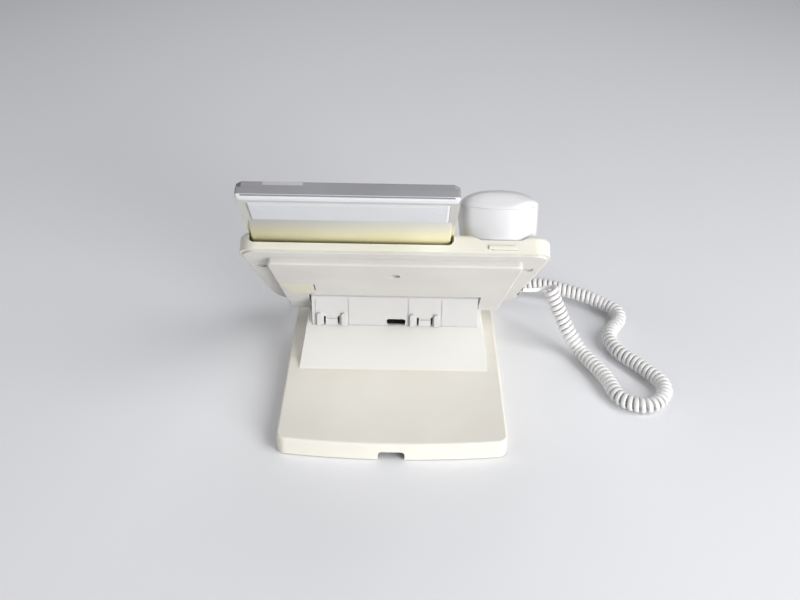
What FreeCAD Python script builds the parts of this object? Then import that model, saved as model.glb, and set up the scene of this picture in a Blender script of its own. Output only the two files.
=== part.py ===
import FreeCAD, Part
import math
import os

from FreeCAD import Placement, Rotation, Vector

# A desk telephone for a data network: a wide stand with a neck, a slanted
# body that holds the keys, a display that tilts at the body's top edge, and
# a handset on a curly cord. Millimetres, degrees, +Z up, the user on -Y.

doc = FreeCAD.newDocument("desk_phone")
sheet = doc.addObject("Spreadsheet::Sheet", "Sizes")

SIZES = {
    # stand
    "stand_rear": 108.92,
    "base_width": 174.0,
    "base_depth": 172.0,
    "base_height": 15.0,
    "base_wall": 2.4,
    "base_bow": 4.6,
    "base_corner": 8.0,
    "base_edge": 2.0,
    "cable_notch_width": 20.0,
    "cable_notch_height": 7.3,
    "cable_notch_offset": 0.2,
    "riser_run": 89.0,
    "riser_half_width": 77.0,
    "riser_slope": 22.0,
    "riser_flank": 12.0,
    "neck_setback": 129.0,
    "neck_width": 138.0,
    "neck_wall": 2.4,
    "neck_depth": 19.0,
    "neck_gap": 0.8,
    "seam_width": 0.7,
    "seam_depth": 0.6,
    "post_width": 3.9,
    "post_height": 12.0,
    "post_proud": 2.4,
    "latch_width": 10.0,
    "latch_height": 6.0,
    "latch_slot": 1.6,
    "cable_hole_width": 15.8,
    "cable_hole_height": 6.0,
    "cable_hole_offset": -1.3,
    "foot_height": 0.8,
    "foot_radius": 6.0,
    "foot_inset": 14.0,
    # body, measured along its slanted top face from the rear edge
    "body_tilt": 50.0,
    "body_length": 172.0,
    "body_rear_half": 115.0,
    "body_front_half": 106.0,
    "body_rear_setback": 81.2,
    "body_rear_height": 149.3,
    "front_radius": 215.0,
    "front_corner": 28.0,
    "rear_corner": 13.0,
    "case_wall": 2.2,
    "case_edge": 4.0,
    "parting_rear": 14.3,
    "parting_front": 5.5,
    "floor_wall": 1.8,
    "floor_inset": 2.8,
    "island_gap": 39.8,
    "island_inset": 17.0,
    "island_start": 32.0,
    "island_end": 145.0,
    "island_height": 6.5,
    "island_corner": 12.0,
    "key_room_right": 8.0,
    "island_edge": 2.0,
    "notch_inset": 7.6,
    "notch_width": 150.4,
    "notch_end": 29.0,
    "notch_rim": 8.8,
    "notch_corner": 4.5,
    "notch_floor": 12.0,
    "platform_start": 15.6,
    "platform_end": 133.0,
    "platform_ramp_end": 160.0,
    "platform_rear_half": 95.7,
    "platform_front_half": 89.5,
    "platform_depth": 20.7,
    "platform_edge": 1.6,
    "platform_corner": 16.0,
    "socket_half": 71.0,
    "socket_start": 93.8,
    "socket_end": 129.0,
    "socket_depth": 3.8,
    "bare_field_depth": 0.4,
    "screw_inset": 13.0,
    "post_radius": 3.6,
    "well_radius": 4.2,
    "well_station": 41.0,
    "lan_x": 18.0,
    # cradle for the handset
    "cradle_inset": 37.2,
    "ear_cup_width": 45.4,
    "ear_cup_floor": 30.0,
    "ear_cup_depth": 4.4,
    "ear_cup_end": 54.0,
    "mouth_cup_start": 107.0,
    "mouth_cup_end": 148.0,
    "mouth_cup_depth": 1.4,
    "mouth_cup_width": 43.0,
    "grille_slots": 7.0,
    "grille_pitch": 5.0,
    "grille_slot_width": 2.0,
    "grille_slot_length": 30.0,
    "grille_station": 70.0,
    "hanger_shift": -2.3,
    "hanger_width": 19.4,
    "hanger_top": 9.4,
    "hanger_thick": 2.6,
    "hanger_length": 12.0,
    # keys
    "key_gap": 0.35,
    "key_proud": 2.4,
    "key_travel": 1.2,
    "key_flange": 0.9,
    "key_flange_thick": 1.0,
    "key_chamfer": 0.5,
    "key_corner": 1.6,
    "dial_key_width": 14.0,
    "dial_key_height": 8.6,
    "dial_pitch_x": 18.0,
    "dial_pitch_y": 11.6,
    "dial_start": 100.0,
    "line_key_width": 16.0,
    "line_key_height": 6.4,
    "line_pitch": 11.6,
    "line_column": 48.0,
    "line_start": 47.0,
    "nav_station": 68.0,
    "nav_radius": 17.0,
    "nav_hole": 8.0,
    "enter_radius": 6.6,
    "rocker_shift": 56.0,
    "rocker_station": 120.0,
    "rocker_width": 8.0,
    "rocker_length": 30.0,
    "mat_thick": 1.2,
    "board_thick": 1.6,
    # display
    "display_tilt": 3.2,
    "display_width": 153.0,
    "display_foot_width": 149.4,
    "display_reach": 77.8,
    "display_thick": 11.6,
    "display_hinge_station": 19.0,
    "barrel_radius": 6.4,
    "hinge_pin_radius": 2.0,
    "hinge_pin_fit": 0.05,
    "bezel_thick": 4.4,
    "bezel_edge": 1.2,
    "display_wall": 2.0,
    "back_panel_top": 9.2,
    "back_panel_bottom": 37.3,
    "back_panel_inset": 6.4,
    "back_panel_thick": 1.2,
    "lamp_width": 27.6,
    "lamp_offset": 44.2,
    "lens_margin": 9.0,
    "lens_height": 44.0,
    "soft_key_width": 14.0,
    "soft_key_height": 5.0,
    "soft_key_pitch": 26.0,
    # handset
    "handset_length": 170.0,
    "handset_half": 29.8,
    "grip_half": 23.0,
    "handset_parting": 29.0,
    "handset_tip": 19.5,
    "handset_corner": 14.0,
    "handset_sweep": 52.0,
    "handset_grip_low": 14.0,
    "handset_round": 8.0,
    "handset_crown": 42.5,
    "grip_crown": 39.0,
    "handset_rest_gap": 0.3,
    "handset_wall": 2.2,
    # curly cord
    "wire_side": 4.0,
    "curl_radius": 4.6,
    "curl_pitch": 6.5,
    "lead_radius": 1.7,
}

for row, (alias, value) in enumerate(SIZES.items(), start=1):
    sheet.set(f"A{row}", alias)
    sheet.set(f"B{row}", str(value))
    sheet.setAlias(f"B{row}", alias)
doc.recompute()


def size(alias):
    return float(getattr(sheet, alias))


# Frames: the stand's is the room's; the body's has x across, y up its slope
# from the rear edge of its top face, and z out of that face.

tilt = size("body_tilt")
rear_y = size("stand_rear") - size("body_rear_setback")
ROOM = Placement()
BODY = Placement(Vector(0, rear_y, size("body_rear_height")), Rotation(Vector(1, 0, 0), tilt))
HINGE_UP = 4.2
notch_centre = size("body_rear_half") - size("notch_inset") - size("notch_width") / 2
cradle_x = size("cradle_inset") - size("body_rear_half")
island_left = cradle_x + size("island_gap")
island_right = size("body_rear_half") - size("island_inset")
key_column = (island_left + island_right) / 2 - 2.0
rocker_x = key_column + size("rocker_shift")
hinge_point = BODY.multVec(Vector(notch_centre, -size("display_hinge_station"), HINGE_UP))
DISPLAY = Placement(hinge_point, Rotation(Vector(1, 0, 0), tilt + size("display_tilt")))
HANDSET = BODY.multiply(Placement(Vector(cradle_x, 0, 0), Rotation()))

PLANES = {"XY": "XY_Plane", "XZ": "XZ_Plane", "YZ": "YZ_Plane"}
nodes = []


def new_body(label, frame=ROOM):
    body = doc.addObject("PartDesign::Body", label)
    body.Label = label
    body.Placement = frame
    nodes.append(body)
    return body


def outline(*steps):
    """Closed path: (x, y) is a line to that point, (mx, my, x, y) an arc through mx, my."""
    pieces = []
    here = steps[0]
    for step in steps[1:] + (steps[0],):
        start = Vector(here[-2], here[-1], 0)
        end = Vector(step[-2], step[-1], 0)
        if len(step) == 4 and step is not steps[0]:
            pieces.append(Part.Arc(start, Vector(step[0], step[1], 0), end))
        elif start.distanceToPoint(end) > 1e-6:
            pieces.append(Part.LineSegment(start, end))
        here = step
    return pieces


def rect(left, low, right, high, corner=0.0):
    if corner <= 0:
        return outline((left, low), (right, low), (right, high), (left, high))
    bend = corner * (1 - math.sqrt(0.5))
    return outline(
        (left + corner, low), (right - corner, low),
        (right - bend, low + bend, right, low + corner), (right, high - corner),
        (right - bend, high - bend, right - corner, high), (left + corner, high),
        (left + bend, high - bend, left, high - corner), (left, low + corner),
        (left + bend, low + bend, left + corner, low))


def cut_rect(left, low, right, high, corner):
    return outline(
        (left + corner, low), (right - corner, low), (right, low + corner), (right, high - corner),
        (right - corner, high), (left + corner, high), (left, high - corner), (left, low + corner))


def circle(x, y, radius):
    return [Part.Circle(Vector(x, y, 0), Vector(0, 0, 1), radius)]


def sketch(body, plane, pieces, offset=0.0):
    made = body.newObject("Sketcher::SketchObject", body.Name + "_sketch")
    origin = next(f for f in body.Origin.OriginFeatures if f.Role == PLANES[plane])
    made.AttachmentSupport = [(origin, "")]
    made.MapMode = "FlatFace"
    made.AttachmentOffset = Placement(Vector(0, 0, offset), Rotation())
    made.addGeometry(pieces, False)
    made.Visibility = False
    return made


def set_length(feature, name, length):
    if isinstance(length, str):
        feature.setExpression(name, length)
    else:
        setattr(feature, name, length)


def solid_feature(body, kind, plane, pieces, length, offset, reverse, centred):
    profile = sketch(body, plane, pieces, offset)
    feature = body.newObject("PartDesign::" + kind, body.Name + "_" + kind.lower())
    feature.Profile = profile
    feature.Midplane = centred
    feature.Reversed = reverse
    set_length(feature, "Length", length)
    doc.recompute()
    if feature.Shape.isNull() or not feature.isValid():
        raise RuntimeError(body.Label + ": " + kind + " failed")
    return feature


def pad(body, plane, pieces, length, offset=0.0, reverse=False, centred=False):
    return solid_feature(body, "Pad", plane, pieces, length, offset, reverse, centred)


def pocket(body, plane, pieces, length, offset=0.0, reverse=False, centred=False):
    before = body.Shape.Volume
    feature = solid_feature(body, "Pocket", plane, pieces, length, offset, reverse, centred)
    if before - feature.Shape.Volume < 0.05:
        raise RuntimeError(body.Label + ": a pocket removed nothing")
    return feature


def cut_below(body, pieces, top, depth):
    """Pocket with its mouth at z = top, going down by depth."""
    return pocket(body, "XY", pieces, depth, offset=top)


def cut_above(body, pieces, bottom, height):
    """Pocket with its mouth at z = bottom, going up by height."""
    return pocket(body, "XY", pieces, height, offset=bottom, reverse=True)


def rear_cut(body, pieces, depth, y):
    """Pocket that runs toward -y from a mouth at y, from an outline in x and z."""
    return pocket(body, "XZ", pieces, depth, offset=-y, reverse=True)


def side_cut(body, pieces, width, middle=0.0):
    """Pocket along x, centred on x = middle, from an outline in y and z."""
    return pocket(body, "YZ", pieces, width, offset=middle, centred=True)


def side_pad(body, pieces, width, middle=0.0):
    return pad(body, "YZ", pieces, width, offset=middle, centred=True)


def round_edges(body, kind, amount, chosen):
    base = body.Tip
    names = [f"Edge{i + 1}" for i, edge in enumerate(base.Shape.Edges) if chosen(edge)]
    feature = body.newObject("PartDesign::" + kind, body.Name + "_" + kind.lower())
    feature.Base = (base, names)
    set_length(feature, "Radius" if kind == "Fillet" else "Size", amount)
    doc.recompute()
    if not names or feature.Shape.isNull() or not feature.isValid():
        raise RuntimeError(f"{body.Label}: {kind} failed on {len(names)} edges")
    return feature


def at_height(z, slack=0.01):
    """Edges that lie in the plane z = height of the body's own frame."""
    def chosen(edge):
        return all(abs(v.Point.z - z) < slack for v in edge.Vertexes) and abs(
            edge.valueAt((edge.FirstParameter + edge.LastParameter) / 2).z - z) < slack
    return chosen


def s_bend(x0, y0, x1, y1):
    """Two equal arcs that leave and arrive along y."""
    side = 1 if x1 > x0 else -1
    way = 1 if y1 > y0 else -1
    dx, dy = abs(x1 - x0), abs(y1 - y0)
    radius = (dx * dx + dy * dy) / (4 * dx)
    half = math.asin(dy / (2 * radius)) / 2
    sweep_x = radius * (1 - math.cos(half))
    sweep_y = radius * math.sin(half)
    middle = ((x0 + x1) / 2, (y0 + y1) / 2)
    return ((x0 + side * sweep_x, y0 + way * sweep_y) + middle,
            (x1 - side * sweep_x, y1 - way * sweep_y, x1, y1))


# Stand

def base_outline(inset):
    half = size("base_width") / 2 - inset
    rear = size("stand_rear") - inset
    side_rear = rear - size("base_bow")
    front = size("stand_rear") - size("base_depth") + inset
    corner = size("base_corner") - inset
    bend = corner * (1 - math.sqrt(0.5))
    return outline(
        (-half + corner, front), (half - corner, front),
        (half - bend, front + bend, half, front + corner), (half, side_rear - corner),
        (half - bend, side_rear - bend, half - corner, side_rear),
        (0, rear, -half + corner, side_rear),
        (-half + bend, side_rear - bend, -half, side_rear - corner), (-half, front + corner),
        (-half + bend, front + bend, -half + corner, front))


def platform_point(depth, station):
    """The point in y and z on a plane below the body's top face."""
    point = BODY.multVec(Vector(0, -station, -depth))
    return point.y, point.z


def platform_height(depth, y):
    """Height of that plane above the desk at y."""
    y0, z0 = platform_point(depth, 0)
    return z0 + (y - y0) * math.tan(math.radians(tilt))


foot_top = size("foot_height")
deck = foot_top + size("base_height")
neck_y = size("stand_rear") - size("neck_setback")
riser_y = size("stand_rear") - size("riser_run")
foot_places = [(sx * (size("base_width") / 2 - size("foot_inset")), y)
               for sx in (-1, 1)
               for y in (size("stand_rear") - size("base_bow") - size("foot_inset"),
                         size("stand_rear") - size("base_depth") + size("foot_inset"))]


def make_base():
    base = new_body("stand_base")
    wall = size("base_wall")
    pad(base, "XY", base_outline(0), "Sizes.base_height", offset=foot_top)
    round_edges(base, "Fillet", "Sizes.base_edge", at_height(deck))
    slope = math.tan(math.radians(size("riser_slope")))
    under = size("platform_depth") + size("neck_gap")
    y_top = riser_y
    while deck + slope * (riser_y - y_top) < platform_height(under, y_top):
        y_top -= 0.05
    z_top = deck + slope * (riser_y - y_top)
    y_low = y_top - (z_top - deck) / math.tan(math.radians(tilt))
    half = size("riser_half_width")
    side_pad(base, outline((riser_y, deck), (y_top, z_top), (y_low, deck), (y_low, deck - 1),
                           (riser_y, deck - 1)), 2 * half)
    flank = size("riser_flank") * math.pi / 180
    lean = (z_top - deck) * math.tan(flank)
    for side in (-1, 1):
        rear_cut(base, outline((side * half, deck), (side * (half - lean), z_top + 0.5),
                               (side * (half + 3), z_top + 0.5), (side * (half + 3), deck)),
                 riser_y - y_low + 4, riser_y + 1)
    recess = size("neck_width") / 2 + 0.4
    cut_below(base, rect(-recess, y_low - 4, recess, neck_y + size("neck_gap") / 2), z_top + 2,
              z_top + 2 - deck)
    cut_above(base, base_outline(wall), 0, deck - wall)
    inner = deck - wall
    side_cut(base, outline((riser_y - 2, inner - 1), (neck_y + 3, inner + slope * (riser_y - neck_y - 4)),
                           (neck_y + 3, inner - 1)), 2 * (half - 9))
    for x, y in foot_places:
        pad(base, "XY", circle(x, y, size("foot_radius") + 1.2), deck - wall - foot_top + 0.2,
            offset=foot_top)
        cut_above(base, circle(x, y, size("foot_radius") + 0.05), foot_top, 1.0)
    notch = size("cable_notch_width") / 2
    middle = size("cable_notch_offset")
    top = foot_top + size("cable_notch_height")
    bend = 3 * (1 - math.sqrt(0.5))
    rear_cut(base, outline((middle - notch, 0), (middle + notch, 0), (middle + notch, top - 3),
                           (middle + notch - bend, top - bend, middle + notch - 3, top),
                           (middle - notch + 3, top),
                           (middle - notch + bend, top - bend, middle - notch, top - 3)),
             "Sizes.base_corner", size("stand_rear") + 1)


post_centres = (62.8, 42.4, -15.0, -35.2)
latch_centres = (52.7, -25.4)
seam_places = (66.2, 38.6, -11.2, -39.1)


def make_neck():
    neck = new_body("stand_neck")
    socket_top = size("platform_depth") - size("socket_depth") + 0.05
    rim = size("platform_depth")
    front = neck_y - size("neck_depth")
    z_rim = platform_height(rim, neck_y)
    y_plug, z_plug = neck_y - size("socket_depth") * math.sin(math.radians(tilt)), 0
    z_plug = platform_height(socket_top, y_plug)
    profile = outline((neck_y, deck), (neck_y, z_rim), (y_plug, z_plug),
                      (front, platform_height(socket_top, front)), (front, deck))
    side_pad(neck, profile, "Sizes.neck_width")
    wall = size("neck_wall")
    roof = size("platform_depth") + 2.4
    inside = neck_y - wall
    side_cut(neck, outline((inside, deck - 1), (inside, platform_height(roof, inside)),
                           (front - 2, platform_height(roof, front - 2)), (front - 2, deck - 1)),
             size("neck_width") - 2 * wall)
    y_high, z_high = platform_point(roof, 105)
    y_low, z_low = platform_point(roof, 123)
    up = 8 * math.sin(math.radians(tilt))
    side = 8 * math.cos(math.radians(tilt))
    side_cut(neck, outline((y_high + 1.5, z_high - 1.5), (y_high - up, z_high + side), (y_low - up, z_low + side),
                           (y_low + 1.5, z_low - 1.5)), 82)
    rear = -neck_y
    z_foot = deck + (riser_y - neck_y) * math.tan(math.radians(size("riser_slope"))) + 0.5
    for x in seam_places:
        rear_cut(neck, rect(x - size("seam_width") / 2, z_foot - 0.4, x + size("seam_width") / 2, z_rim - 2),
                 "Sizes.seam_depth", neck_y)
    posts = []
    for x in post_centres:
        half = size("post_width") / 2
        top = z_foot + size("post_height")
        posts += outline((x - half, z_foot), (x + half, z_foot), (x + half, top - half),
                         (x, top, x - half, top - half))
    pad(neck, "XZ", posts, "Sizes.post_proud", offset=rear, reverse=True)
    slots = []
    blocks = []
    for x in latch_centres:
        half = size("latch_width") / 2
        slots += rect(x - half - size("latch_slot"), z_foot, x - half, z_foot + size("latch_height") + 2)
        slots += rect(x + half, z_foot, x + half + size("latch_slot"), z_foot + size("latch_height") + 2)
        blocks += rect(x - half, z_foot, x + half, z_foot + size("latch_height"))
    rear_cut(neck, slots, wall + 1, neck_y + 0.5)
    pad(neck, "XZ", blocks, 1.4, offset=rear, reverse=True)
    hole = size("cable_hole_width") / 2
    x = size("cable_hole_offset")
    rear_cut(neck, rect(x - hole, z_foot - 0.3, x + hole, z_foot + size("cable_hole_height"), 2.0),
             wall + 1, neck_y + 0.5)


# Body

def case_outline(inset, rear_inset=None):
    rear = inset if rear_inset is None else rear_inset
    rear_half = size("body_rear_half") - inset
    front_half = size("body_front_half") - inset
    corner = size("front_corner") - inset
    centre_y = size("front_radius") - size("body_length")
    radius = size("front_radius") - inset
    cx, cy = front_corner_centre()
    unit_x = cx / (radius - corner)
    unit_y = (cy - centre_y) / (radius - corner)
    join = (cx + corner * unit_x, cy + corner * unit_y)
    half_x, half_y = (1 + unit_x) / 2, unit_y / 2
    scale = corner / math.hypot(half_x, half_y)
    bend = (cx + half_x * scale, cy + half_y * scale)
    small = max(size("rear_corner") - inset, 0.8)
    fold = small * (1 - math.sqrt(0.5))
    return outline(
        (rear_half - small, -rear),
        (-rear_half + small, -rear),
        (-rear_half + fold, -rear - fold, -rear_half, -rear - small),
        (-front_half, cy),
        (-bend[0], bend[1], -join[0], join[1]),
        (0, centre_y - radius, join[0], join[1]),
        (bend[0], bend[1], front_half, cy),
        (rear_half, -rear - small),
        (rear_half - fold, -rear - fold, rear_half - small, -rear))


def front_corner_centre():
    """Centre of the rounding between the case's flank and its curved front."""
    x = size("body_front_half") - size("front_corner")
    reach = size("front_radius") - size("front_corner")
    return x, size("front_radius") - size("body_length") - math.sqrt(reach ** 2 - x ** 2)


def flank(station):
    """Half width of the case's outline at a station beside its straight flank."""
    start, end = size("rear_corner"), -front_corner_centre()[1]
    share = (station - start) / (end - start)
    return size("body_rear_half") + share * (size("body_front_half") - size("body_rear_half"))


def front_line(x, inset):
    """y of the case's curved front wall at x."""
    centre_y = size("front_radius") - size("body_length")
    return centre_y - math.sqrt((size("front_radius") - inset) ** 2 - x * x)


def parting(y, deeper=0.0):
    """z of the plane between the two case halves at y."""
    slope = (size("parting_rear") - size("parting_front")) / size("body_length")
    return -size("parting_rear") - slope * y - deeper


def dial_places():
    for row in range(4):
        for column in range(3):
            x = key_column + (column - 1) * size("dial_pitch_x")
            yield row * 3 + column, x, -size("dial_start") - row * size("dial_pitch_y")


def line_places():
    for index in range(8):
        side = -1 if index < 4 else 1
        x = key_column + side * size("line_column")
        yield index, x, -size("line_start") - (index % 4) * size("line_pitch")


def key_holes():
    gap = size("key_gap")
    holes = []
    for _, x, y in dial_places():
        holes += key_outline(x, y, size("dial_key_width") + 2 * gap, size("dial_key_height") + 2 * gap)
    for _, x, y in line_places():
        holes += key_outline(x, y, size("line_key_width") + 2 * gap, size("line_key_height") + 2 * gap)
    holes += circle(key_column, -size("nav_station"), size("nav_radius") + gap)
    holes += key_outline(rocker_x, -size("rocker_station"), size("rocker_width") + 2 * gap,
                         size("rocker_length") + 2 * gap)
    return holes


def key_outline(x, y, width, height):
    return cut_rect(x - width / 2, y - height / 2, x + width / 2, y + height / 2, size("key_corner"))


jack_station = 120.0
headset_station = 104.0
jack_depth = 12.0
jack_half = 5.2
jack_height = 6.5
plug_half_width = 3.7
plug_half_height = 2.6
cradle_deck = 6.6
rim_width = 3.6
boss_rise = 2.6
well_wall = 1.6
mic_x = 35.0
mic_y = 17.0 - size("body_length")


def screw_places():
    """Two in the corners of the underside, one in the middle and two in the neck's socket."""
    rear = size("body_rear_half") - size("screw_inset")
    return ((-rear, 39.0), (rear, 39.0), (0.0, size("well_station")), (-59.0, 99.0), (59.0, 99.0))


def screw_seat(station):
    """z of the face in a well that a screw's head pulls against."""
    return parting(-station, -0.4)


def well_foot(x):
    """Lowest z of a screw well's ring."""
    if abs(x) > size("socket_half"):
        return parting(-39.0, size("floor_wall"))
    return -size("platform_depth") + (size("socket_depth") if x else 0.0)


def post_top(x):
    """Top of a screw post, inside the skin that carries it."""
    if x < island_left:
        return -cradle_deck + 2.0
    if x < island_right:
        return size("island_height") - 1.0
    return 1.0 - size("case_wall")


def jack_low(station):
    """Depth of a side socket's underside, sunk a little into the lower half."""
    return 0.6 - parting(-station)


def jack_high(station):
    return jack_low(station) - jack_height


def jack_face(station):
    """Distance of a side socket's mouth from the middle of the case."""
    return flank(station) - 1.0


def side_jack_rect(station, slack=0.1):
    outer = -size("body_rear_half") - 1
    inner = jack_depth + slack - jack_face(station)
    return rect(outer, -station - jack_half - slack, inner, -station + jack_half + slack)


def key_room(inset=0.0):
    """The hollow under the raised key panel."""
    rim = size("case_wall") + 0.2 + inset
    return rect(island_left + rim, rim - size("island_end"), island_right - size("key_room_right") - inset,
                -size("island_start") - rim, 4.0 - inset)


def make_upper_case():
    case = new_body("upper_case", BODY)
    wall = size("case_wall")
    pad(case, "XY", case_outline(0), "Sizes.parting_rear", reverse=True)
    round_edges(case, "Fillet", "Sizes.case_edge", at_height(0))
    left, right = island_left, island_right
    start, end = -size("island_start"), -size("island_end")
    pad(case, "XY", rect(left, end, right, start, size("island_corner")), size("island_height") + 2, offset=-2)
    round_edges(case, "Fillet", "Sizes.island_edge", at_height(size("island_height")))
    # hollow under the keys, and under the thick deck that carries the cradle
    cut_above(case, key_room(), -16, 16 + size("island_height") - wall)
    inner = wall + 3.0
    inner_right = size("body_front_half") - inner
    corner_x, corner_y = front_corner_centre()
    turn = size("front_corner") - inner
    slant = turn * math.sqrt(0.5)
    far_x = corner_x - 2
    cut_above(case, outline((left + 4, -33), (inner_right, -33), (inner_right, corner_y),
                            (corner_x + slant, corner_y - slant), (far_x, front_line(far_x, inner)),
                            (far_x / 2, front_line(far_x / 2, inner)), (0, front_line(0, inner)),
                            (left + 4, front_line(left + 4, inner))), -16, 16 - wall)
    cut_above(case, outline((left + 1.8, -34), (left + 1.8, corner_y), (-inner_right, corner_y),
                            (-inner_right, -34)), -16, 16 - cradle_deck)
    # notch for the display's hinge
    notch = size("notch_width") / 2
    middle = notch_centre
    low, bend = -size("notch_rim"), size("notch_corner")
    fold = bend * (1 - math.sqrt(0.5))
    rear_cut(case, outline((middle - notch, 1), (middle - notch, low + bend),
                           (middle - notch + fold, low + fold, middle - notch + bend, low),
                           (middle + notch - bend, low),
                           (middle + notch - fold, low + fold, middle + notch, low + bend),
                           (middle + notch, 1)), size("notch_end") + 1, 1)
    cut_below(case, rect(middle - notch, -size("notch_end"), middle + notch, -rim_width), -2,
              size("notch_floor") - 2)
    # cradle
    cradle = cradle_x
    ear, floor_half = size("ear_cup_width") / 2, size("ear_cup_floor") / 2
    depth = size("ear_cup_depth")
    rear_cut(case, outline((cradle - ear, 0), (cradle - floor_half, -depth), (cradle + floor_half, -depth),
                           (cradle + ear, 0), (cradle + ear, 1), (cradle - ear, 1)),
             size("ear_cup_end") + 1, 1)
    mouth = size("mouth_cup_width") / 2
    cut_below(case, rect(cradle - mouth, -size("mouth_cup_end"), cradle + mouth, -size("mouth_cup_start"), 6),
              1, size("mouth_cup_depth") + 1)
    # openings
    cut_below(case, key_holes(), size("island_height") + 1, wall + 3)
    slots = []
    for index in range(int(size("grille_slots"))):
        y = -size("grille_station") - index * size("grille_pitch")
        half = size("grille_slot_length") / 2
        slots += rect(cradle - half, y - size("grille_slot_width"), cradle + half, y)
    slots += rect(cradle - 4.4, -32, cradle + 4.4, -23.2)
    slots += rect(mic_x - 4, mic_y - 8.6, mic_x + 4, mic_y - 7)
    cut_below(case, slots, 1, 17)
    # posts that take the case screws, over the rings of the lower half
    corners = [place for place in screw_places() if abs(place[0]) > size("socket_half")]
    for x, station in corners:
        cut_above(case, circle(x, -station, size("well_radius") + well_wall + 0.2), -22,
                  22 + parting(-station, -boss_rise))
    for x, station in screw_places():
        top = post_top(x)
        foot = parting(-station, -boss_rise)
        pad(case, "XY", circle(x, -station, size("post_radius")), top - foot, offset=foot)
    side_cut(case, outline((12, parting(12)), (-200, parting(-200)), (-200, -40), (12, -40)), 260)
    for x, station in screw_places():
        foot = parting(-station, -boss_rise)
        cut_above(case, circle(x, -station, 1.3), foot - 1, 7.0)
    # hanger slot in the rear wall, jack seats in the side wall
    hanger = cradle + size("hanger_shift")
    rear_cut(case, rect(hanger - size("hanger_width") / 2, -size("hanger_top") - size("hanger_thick"),
                        hanger + size("hanger_width") / 2, -size("hanger_top")), "Sizes.hanger_length", 0)
    for station in (jack_station, headset_station):
        cut_above(case, side_jack_rect(station), -12, 12 - jack_high(station))
    # knuckles that carry the hinge pins
    for side in (-1, 1):
        x = middle + side * knuckle_reach
        y = -size("display_hinge_station")
        low = -size("notch_floor") - 0.5
        side_pad(case, outline((y - knuckle_radius, low), (y + knuckle_radius, low),
                               (y + knuckle_radius, HINGE_UP),
                               (y, HINGE_UP + knuckle_radius, y - knuckle_radius, HINGE_UP)),
                 knuckle_width, middle=x)
        side_cut(case, circle(y, HINGE_UP, size("hinge_pin_radius") + size("hinge_pin_fit")),
                 knuckle_width + 2, middle=x)
    return case


knuckle_reach = 52.0
knuckle_width = 9.0
knuckle_radius = 4.8
knuckle_gap = 0.5


def platform_outline(inset=0.0):
    rear, front = size("platform_rear_half") - inset, size("platform_front_half") - inset
    start, end = -size("platform_start") - inset, -size("platform_ramp_end") + inset
    corner = 4.0
    bend = corner * (1 - math.sqrt(0.5))
    big = size("platform_corner")
    fold = big * (1 - math.sqrt(0.5))
    return outline(
        (rear - corner, start), (-rear + corner, start), (-rear + bend, start - bend, -rear, start - corner),
        (-front, -size("platform_end") + big), (-front, end + 26), (-front + 26, end),
        (front - 26, end), (front, end + 26), (front, -size("platform_end") + big),
        (rear, start - corner), (rear - bend, start - bend, rear - corner, start))


def make_lower_case():
    case = new_body("lower_case", BODY)
    far = -size("body_length") - 4
    plate = outline((4, parting(4)), (far, parting(far)), (far, parting(far, size("floor_wall"))),
                    (4, parting(4, size("floor_wall"))))
    side_pad(case, plate, 250)
    pocket(case, "XY", rect(-140, -220, 140, 40) + case_outline(size("floor_inset")), 60, offset=20)
    depth = size("platform_depth")
    pad(case, "XY", platform_outline(), depth - 4, offset=-depth)
    ramp_end, ramp_start = -size("platform_ramp_end"), -size("platform_end")
    ramp_low = parting(ramp_end, size("floor_wall"))
    side_cut(case, outline((ramp_start, -depth - 1), (ramp_start, -depth), (ramp_end, ramp_low),
                           (ramp_end - 4, ramp_low), (ramp_end - 4, -depth - 1)), 220)
    round_edges(case, "Fillet", "Sizes.platform_edge", platform_rear_edge)
    side_cut(case, outline((12, parting(12)), (-210, parting(-210)), (-210, 20), (12, 20)), 260)
    inner = size("platform_front_half") - 2.2
    start = -size("platform_start") - 2
    side_cut(case, outline((start, 0), (start, -depth + 2), (ramp_start + 1, -depth + 2),
                           (ramp_end + 9, ramp_low + 4.6), (ramp_end + 9, 0)), 2 * inner)
    # socket that the stand's neck plugs into
    half = size("socket_half")
    low, high = -size("socket_end"), -size("socket_start")
    pad(case, "XY", rect(-half - 2, low - 2, half + 2, high + 2), size("socket_depth") + 2, offset=-depth)
    cut_above(case, rect(-half, low, half, high), -depth - 1, size("socket_depth") + 1)
    cut_above(case, rect(72.5, -112, 92, -85), -depth - 1, size("bare_field_depth") + 1)
    cut_above(case, rect(67, -92.6, 70.6, -83), -depth - 1, 2.2)
    for x, station in screw_places():
        low = well_foot(x)
        top = parting(-station, -boss_rise) - 0.2
        pad(case, "XY", circle(x, -station, size("well_radius") + well_wall), top - low, offset=low)
        cut_above(case, circle(x, -station, size("well_radius")), low - 1, screw_seat(station) - low + 1)
    openings = []
    for side in (-1, 1):
        x = side * size("lan_x")
        openings += rect(x - 7.7, -121.3, x + 7.7, -108.3)
    cut_above(case, openings, -depth + 1, size("socket_depth") + 3)
    holes = []
    for x, station in screw_places():
        holes += circle(x, -station, 1.6)
    cut_above(case, holes, -30, 30)
    for station in (jack_station, headset_station):
        cut_above(case, side_jack_rect(station), -jack_low(station), 6)


def platform_rear_edge(edge):
    y, z = -size("platform_start"), -size("platform_depth")
    if abs(edge.CenterOfMass.z - z) > 0.01:
        return False
    return edge.CenterOfMass.y > y - 60


# Plain pieces made from Part primitives

def show(label, feature, frame=ROOM):
    feature.Label = label
    feature.Placement = frame.multiply(feature.Placement)
    nodes.append(feature)
    return feature


def box(name, x0, y0, z0, x1, y1, z1):
    made = doc.addObject("Part::Box", name)
    made.Length, made.Width, made.Height = x1 - x0, y1 - y0, z1 - z0
    made.Placement = Placement(Vector(x0, y0, z0), Rotation())
    return made


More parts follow.
